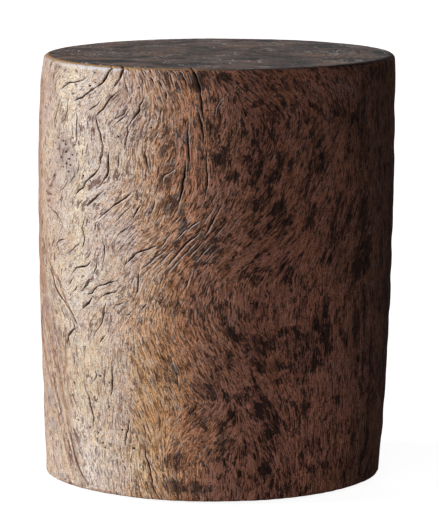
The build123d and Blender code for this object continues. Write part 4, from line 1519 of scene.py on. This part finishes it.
@dataclass
class Trunk:
    """The block itself, as one closed surface with its checks, ridges and worn rim."""

    block: BlockShape
    checks: DryingChecks
    flow: GrainFlow
    stains: Stains
    finish: TeakFinish = TeakFinish()
    parts: int = 4
    front_step: float = 3.6
    back_step: float = 5.2
    split_reach: float = 3.8
    least_inset: float = 0.00015
    mean_inset: float = 0.00055
    glide_clear: float = 0.016
    glide_fade: float = 1.3
    under_height: float = 0.002
    # The rows of the flats, in millimetres in from the edge: even ones, ones that spread, the rest
    even_rows: tuple[float, float] = (3, 24)
    spread_rows: tuple[float, ...] = (0.6, 0.9, 1.3, 1.8, 2.4, 3.2, 4.2)
    spread_share: float = 1.5
    inner_rows: int = 7
    # A check's groove and its lip, in millimetres
    groove_margin: float = 0.9
    groove_opens: tuple[float, float] = (0.05, 0.5)
    groove_least: float = 0.6
    groove_growth: float = 2.0
    lip_height: float = 0.25
    lip_spread: float = 1.2
    # The rim's wear in millimetres, and where it is deepest, as an azimuth and a spread round it
    rim_wear: float = 0.5
    corner_wear: float = 0.9
    corner: tuple[float, float] = (-0.75, 0.5)
    wear_reach: float = 4.0
    swell_seed: int = 23
    # How many waves there are, the fewest and the most round the block, and how many up it
    swells: tuple[int, int, int, float] = (44, 1, 20, 14.0)
    ridges: tuple[int, int, int, float] = (40, 26, 84, 4.0)
    swell_height: float = 0.154
    swell_fall: float = 0.16
    ridge_height: float = 0.04
    wave_height: float = 450.0

    def column_edges(self) -> np.ndarray:
        """The azimuths of the columns' edges, closer together in front than behind.

        Returns:
            The azimuths, from the left of the front and round behind.
        """
        quarter = self.block.mean_radius / MILLIMETRE * pi / 2
        front = np.linspace(-pi / 2, pi / 2, int(2 * quarter / self.front_step) + 1)
        back = np.linspace(pi / 2, pi * 3 / 2, int(2 * quarter / self.back_step) + 1)
        return np.concatenate([front[:-1], back[:-1]])

    def row_edges(self) -> np.ndarray:
        """The ways up of the rows' edges, in millimetres, without the two poles.

        Returns:
            The ways up, from the underside to the top.
        """
        block = self.block
        metres = (block.foot_way, block.rim_way, block.top_way, block.flat_radius)
        foot_way, rim_way, top_way, flat = (way / MILLIMETRE for way in metres)
        spread = np.array(self.spread_rows) * self.front_step * self.spread_share
        first, last = self.even_rows
        inward = np.concatenate([np.arange(first, last, self.front_step), last + np.cumsum(spread)])
        inward = np.concatenate([inward, np.linspace(inward[-1], flat, self.inner_rows)[1:-1]])
        under = -inward[::-1][::2]
        wall = np.linspace(foot_way, rim_way, int((rim_way - foot_way) / self.front_step) + 1)
        rim, foot = np.linspace(rim_way, top_way, 5), np.linspace(0, foot_way, 3)
        return np.concatenate([under, foot[:-1], wall[:-1], rim[:-1], [top_way], top_way + inward])

    def split_cells(self, rows: np.ndarray, columns: np.ndarray) -> np.ndarray:
        """Which cells lie close enough to a check to be split.

        Args:
            rows: The ways up of the rows' edges, in millimetres.
            columns: The azimuths of the columns' edges.

        Returns:
            Whether each cell is split, by row and column.
        """
        across = (columns + np.append(columns[1:], columns[0] + 2 * pi)) / 2
        across = ((across + pi) % (2 * pi) - pi) * (self.block.mean_radius / MILLIMETRE)
        ways = (rows[1:] + rows[:-1]) / 2
        places = np.stack(np.broadcast_arrays(across[None], ways[:, None]), axis=-1).reshape(-1, 2)
        near = self.checks.distance(places).reshape(len(ways), len(across)) < self.split_reach
        near[:2] = False
        near[-3:] = False
        return near

    def faces(self, split: np.ndarray) -> tuple[np.ndarray, np.ndarray]:
        """The faces on a lattice of fine places, with split cells and their neighbours joined up.

        A split cell becomes small squares. Any other cell is one face, whose sides take in the
        places of the split cells beside it. There are sixteen such outlines, one for each choice
        of split neighbours, and every outline's cells are made in one step. A fan of triangles
        closes each pole.

        Args:
            split: Which cells are split, by row and column.

        Returns:
            The faces' corners as lattice numbers, one after another, and the corners of each face.
        """
        parts, (row_count, column_count) = self.parts, split.shape
        width = column_count * parts
        corners, counts = [], []

        def add(rows: np.ndarray, columns: np.ndarray, outline: list[tuple[int, int]]) -> None:
            """Adds faces with an outline of steps up and to the right, at fine rows and columns.

            Args:
                rows: The row of each face's first corner.
                columns: The column of each face's first corner.
                outline: The steps to each corner in turn.
            """
            ups, rights = np.array(outline).T
            corners.append(((rows[:, None] + ups) * width + (columns[:, None] + rights) % width).reshape(-1))
            counts.append(np.full(len(rows), len(outline)))

        row, column = (index[:, None] * parts for index in np.nonzero(split))
        inner_row, inner_column = np.divmod(np.arange(parts**2), parts)
        add((row + inner_row).ravel(), (column + inner_column).ravel(), [(0, 0), (0, 1), (1, 1), (1, 0)])
        padded = np.zeros((row_count + 2, column_count), bool)
        padded[1:-1] = split
        sides = [padded[:-2], np.roll(split, -1, 1), padded[2:], np.roll(split, 1, 1)]
        pattern = np.where(split, -1, sum(side * 2**power for power, side in enumerate(sides)))
        ends = [((0, 0), (0, 1)), ((0, parts), (1, 0)), ((parts, parts), (0, -1)), ((parts, 0), (-1, 0))]
        for choice in range(16):
            outline = []
            for power, ((up, right), (up_step, right_step)) in enumerate(ends):
                steps = parts if choice >> power & 1 else 1
                outline += [(up + up_step * step, right + right_step * step) for step in range(steps)]
            row, column = np.nonzero(pattern == choice)
            add(row * parts, column * parts, outline)
        ring = np.arange(column_count) * parts
        beside = (ring + parts) % width
        last = row_count * parts * width
        poles = (row_count * parts + 1) * width + np.arange(2)
        low_fan = np.stack([np.full(column_count, poles[0]), beside, ring], axis=-1)
        high_fan = np.stack([last + ring, last + beside, np.full(column_count, poles[1])], axis=-1)
        corners += [low_fan.reshape(-1), high_fan.reshape(-1)]
        counts.append(np.full(2 * column_count, 3))
        return np.concatenate(corners), np.concatenate(counts)

    def swell(self, azimuth: np.ndarray, way: np.ndarray) -> np.ndarray:
        """The hewn surface's swells and the upright ridges on it, in millimetres.

        Both are sums of sine waves with whole numbers of waves round the block, drawn by chance.
        The swells' heights fall with their number.

        Args:
            azimuth: The azimuths.
            way: The ways up, in millimetres.

        Returns:
            The heights, above and below nothing.
        """
        draw = np.random.default_rng(self.swell_seed)
        height = np.zeros(len(azimuth))
        for kind in (self.swells, self.ridges):
            count, fewest, most, lean = kind
            for _ in range(count):
                waves = int(draw.integers(fewest, most))
                up = draw.uniform(-lean, lean) / self.wave_height * 2 * pi
                tall = self.swell_height / (1 + self.swell_fall * waves)
                tall = tall if kind is self.swells else self.ridge_height
                height += tall * np.sin(waves * azimuth + up * way + draw.uniform(0, 2 * pi))
        return height

    def inset(self, azimuth: np.ndarray, way: np.ndarray, layers: list[np.ndarray]) -> np.ndarray:
        """How far the surface lies below the block's full form, in metres.

        It is a mean depth less the swells, plus a groove along every check, plus the rim's wear.
        The wear is a round dip over the rim, deepest at the front left.

        Args:
            azimuth: The azimuths.
            way: The ways up, in millimetres.
            layers: The checks' rows for each layer.

        Returns:
            The insets.
        """
        rim_way, top_way = self.block.rim_way / MILLIMETRE, self.block.top_way / MILLIMETRE
        on_wall = smooth_step(way, -4, 8) * smooth_step(-way, -top_way, -440)
        depth = -self.swell(azimuth, way) * (0.25 + 0.75 * on_wall)
        for rows in layers:
            distance, half_width, pale = rows.T
            reach = np.maximum(half_width, 0) + self.groove_margin
            opened = smooth_step(half_width, *self.groove_opens)
            groove = np.clip(1 - np.abs(distance) / reach, 0, 1) * opened
            depth += groove * (self.groove_least + self.groove_growth * np.maximum(half_width, 0))
            lip = np.exp(-(((distance - reach) / self.lip_spread) ** 2))
            depth -= self.lip_height * opened * (0.3 + pale) * lip
        middle, spread = self.corner
        worn = self.rim_wear + self.corner_wear * np.exp(-(((azimuth - middle) / spread) ** 2))
        depth += worn * np.exp(-(((way - (rim_way + top_way) / 2) / self.wear_reach) ** 2))
        return np.maximum(self.mean_inset + depth * MILLIMETRE, self.least_inset)

    def seated(self, points: np.ndarray, inset: np.ndarray, glides: list[tuple[float, float]]) -> np.ndarray:
        """The insets with none over the glides, where the underside is planed flat.

        Args:
            points: The points of the full form, one row each.
            inset: Their insets.
            glides: The places of the glides' middles.

        Returns:
            The new insets.
        """
        under = points[:, 2] < self.block.foot + self.under_height
        for x, y in glides:
            reach = np.hypot(points[:, 0] - x, points[:, 1] - y)
            near = smooth_step(reach, self.glide_clear, self.glide_clear * self.glide_fade)
            inset = np.where(under, inset * near, inset)
        return inset

    def build(self, glides: list[tuple[float, float]]) -> bpy.types.Object:
        """Makes the block's mesh and dresses it.

        Args:
            glides: The places of the glides' middles.

        Returns:
            The finished piece.
        """
        block, rows, columns = self.block, self.row_edges(), self.column_edges()
        corners, counts = self.faces(self.split_cells(rows, columns))
        used, corner_points = np.unique(corners, return_inverse=True)
        fine_row, fine_column = np.divmod(used, len(columns) * self.parts)
        ends = np.append(columns, columns[0] + 2 * pi)
        azimuth = np.interp(fine_column / self.parts, np.arange(len(ends)), ends)
        azimuth = (azimuth + pi) % (2 * pi) - pi
        way = np.interp(fine_row / self.parts, np.arange(len(rows)), rows) * MILLIMETRE
        way[-2:] = (-block.flat_radius, block.top_way + block.flat_radius)
        azimuth[-2:] = 0
        unrolled = np.stack([azimuth * block.mean_radius, way], axis=-1) / MILLIMETRE
        layers = self.checks.fields(unrolled)
        inset = self.inset(azimuth, way / MILLIMETRE, layers)
        inset = self.seated(block.place(azimuth, way, 0 * inset), inset, glides)
        points = block.place(azimuth, way, inset)
        mesh = self.mesh(points, corner_points, counts)
        radius = block.mean_radius / MILLIMETRE
        held = {
            "stains": self.stains.fields(unrolled),
            "flat": np.column_stack([unrolled, azimuth]),
            "round": np.column_stack([radius * np.sin(azimuth), -radius * np.cos(azimuth), way / MILLIMETRE]),
            "turn": np.column_stack([self.flow.field(unrolled), 0 * way]),
        }
        held.update({f"checks_{number}": rows for number, rows in enumerate(layers, start=1)})
        for name, values in held.items():
            made = mesh.attributes.new(name, "FLOAT_VECTOR", "POINT")
            made.data.foreach_set("vector", np.ascontiguousarray(values, dtype=np.float32).ravel())
        piece = show("teak_block", mesh)
        mesh.materials.append(TeakCoats(self.finish, block).build(len(layers)))
        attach(piece, "root")
        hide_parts("trunk")
        triangles = int((counts - 2).sum())
        log.info("teak_block: %d points, %d faces, %d triangles", len(points), len(counts), triangles)
        return piece

    def mesh(self, points: np.ndarray, corners: np.ndarray, counts: np.ndarray) -> bpy.types.Mesh:
        """The mesh of points and of faces given by their corners and corner counts.

        Args:
            points: The points, one row each.
            corners: The faces' corners as point numbers, one after another.
            counts: The corners of each face.

        Returns:
            The mesh.
        """
        mesh = bpy.data.meshes.new("teak_block")
        mesh.vertices.add(len(points))
        mesh.vertices.foreach_set("co", points.astype(np.float32).ravel())
        mesh.loops.add(len(corners))
        mesh.loops.foreach_set("vertex_index", corners.astype(np.int32))
        mesh.polygons.add(len(counts))
        starts = np.concatenate([[0], np.cumsum(counts)[:-1]])
        mesh.polygons.foreach_set("loop_start", starts.astype(np.int32))
        mesh.polygons.foreach_set("use_smooth", np.ones(len(counts), bool))
        mesh.update(calc_edges=True)
        if mesh.validate(verbose=True):
            log.warning("teak_block: the mesh had to be mended")
        return mesh


@dataclass
class Glides:
    """The four nylon glides and their nails, which keep their solid form and get their finishes."""

    glide_names: tuple[str, ...] = tuple(
        f"glide_{end}_{side}" for end in ("front", "back") for side in ("left", "right")
    )
    nail_name: str = "glide_nails"
    # Moulded brown nylon, scuffed grey where it slides on the floor
    nylon: PlainFinish = PlainFinish(
        "nylon", body=(0.09, 0.06, 0.045), worn=(0.24, 0.21, 0.19), patches=(900.0, 260.0, 400.0),
        grain=(2600.0, 2600.0, 2600.0), grain_depth=0.05 * MILLIMETRE, patch_rough=0.65,
        patch_ramp=(0.52, 0.72, 0.0, 0.7), roughness=(0.42, 0.7), metallic=0.0, specular_level=0.4,
    )
    # Bright nail steel, with turning marks and a little tarnish
    steel: PlainFinish = PlainFinish(
        "nail_steel", body=(0.56, 0.55, 0.53), worn=(0.30, 0.24, 0.19), patches=(700.0, 700.0, 700.0),
        grain=(400.0, 4000.0, 4000.0), grain_depth=0.03 * MILLIMETRE, patch_rough=0.6,
        patch_ramp=(0.45, 0.7), roughness=(0.25, 0.55), metallic=1.0, specular_level=0.5,
    )

    def places(self) -> list[tuple[float, float]]:
        """The middle of each glide."""
        boxes = [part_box(name) for name in self.glide_names]
        return [((low[0] + high[0]) / 2, (low[1] + high[1]) / 2) for low, high in boxes]

    def dress(self) -> None:
        """Puts the finishes in the material slots of the glides and the nails."""
        nylon = self.nylon.build()
        finishes = {name: nylon for name in self.glide_names}
        finishes[self.nail_name] = self.steel.build()
        for name, material in finishes.items():
            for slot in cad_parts[name].material_slots:
                slot.material = material
            log.info("%s: dressed in %s", name, material.name)


@dataclass(frozen=True)
class Studio:
    """A pale floor under a broad soft key from the left, weaker lamps round it, and an even fill."""

    # Each lamp's strength, then its azimuth, its elevation and its spread in degrees
    lamps: tuple[tuple[str, float, float, float, float], ...] = (
        ("key_lamp", 3.3, -88.0, 16.0, 24.0),
        ("front_lamp", 0.60, -20.0, 20.0, 40.0),
        ("back_lamp", 1.3, 176.0, 6.0, 30.0),
    )
    fill: float = 0.04
    floor_size: float = 30.0
    floor_glow: float = 0.93
    floor_colour: Colour = (0.45, 0.45, 0.45)

    def light(self, name: str, strength: float, azimuth: float, elevation: float, spread: float) -> None:
        """Adds one far, soft lamp to the scene.

        Args:
            name: The lamp's name.
            strength: Its strength.
            azimuth: Where it stands round the stool, in degrees.
            elevation: How high it stands, in degrees.
            spread: How wide it looks from the stool, in degrees.
        """
        data = bpy.data.lights.new(name, "SUN")
        data.energy = strength
        data.angle = radians(spread)
        show(name, data).rotation_euler = (radians(90 - elevation), 0.0, radians(azimuth))

    def seen(self, wiring: Wiring) -> Value:
        """One for camera, glossy and transmission rays, and nothing for others.

        Args:
            wiring: The wiring of the world or of a material.

        Returns:
            The value.
        """
        path = wiring.node("ShaderNodeLightPath").outputs
        rays = ("Camera", "Glossy", "Transmission")
        camera, glossy, through = (Value(wiring, path[f"Is {ray} Ray"]) for ray in rays)
        return camera.highest(glossy).highest(through)

    def world(self) -> None:
        """Lights the scene evenly, and shows white to the camera and in reflections."""
        world = bpy.data.worlds.new("studio")
        world.use_nodes = True
        bpy.context.scene.world = world
        wiring = Wiring(world.node_tree)
        background = world.node_tree.nodes["Background"]
        wiring.put(background.inputs["Color"], (1.0, 1.0, 1.0))
        wiring.put(background.inputs["Strength"], self.seen(wiring) * (1 - self.fill) + self.fill)

    def floor(self) -> None:
        """Lays the pale floor, which glows to the camera and keeps the stool's shadow."""
        mesh = bpy.data.meshes.new("floor")
        half = self.floor_size / 2
        corners = [(-half, -half, 0.0), (half, -half, 0.0), (half, half, 0.0), (-half, half, 0.0)]
        mesh.from_pydata(corners, [], [(0, 1, 2, 3)])
        material = bpy.data.materials.new("floor")
        material.use_nodes = True
        nodes = material.node_tree.nodes
        nodes.remove(nodes["Principled BSDF"])
        wiring = Wiring(material.node_tree)
        matt = wiring.filled(wiring.node("ShaderNodeBsdfDiffuse"), self.floor_colour)
        strength = self.seen(wiring) * self.floor_glow
        glow = wiring.filled(wiring.node("ShaderNodeEmission"), (1.0, 1.0, 1.0), strength)
        both = wiring.filled(wiring.node("ShaderNodeAddShader"), matt, glow)
        wiring.put(nodes["Material Output"].inputs["Surface"], both)
        mesh.materials.append(material)
        show("floor", mesh)

    def set_up(self) -> None:
        """Builds the studio."""
        bpy.context.scene.view_settings.view_transform = "Standard"
        for lamp in self.lamps:
            self.light(*lamp)
        self.world()
        self.floor()


def main() -> None:
    """Builds the stool's looks and the studio round it."""
    logging.basicConfig(level=logging.INFO, format="%(message)s", stream=sys.stdout)
    low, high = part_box("trunk")
    camera = PhotoCamera()
    block = BlockShape(tuple(low), tuple(high))
    checks = DryingChecks(camera, block)
    layers = [len(layer) for layer in checks.layers()]
    log.info("drying checks: %d, in layers of %s", len(checks.lines), layers)
    glides = Glides()
    Trunk(block, checks, GrainFlow(camera, block, checks), Stains(camera, block)).build(glides.places())
    glides.dress()
    Studio().set_up()
    camera.set_up()


if __name__ == "__main__":
    main()
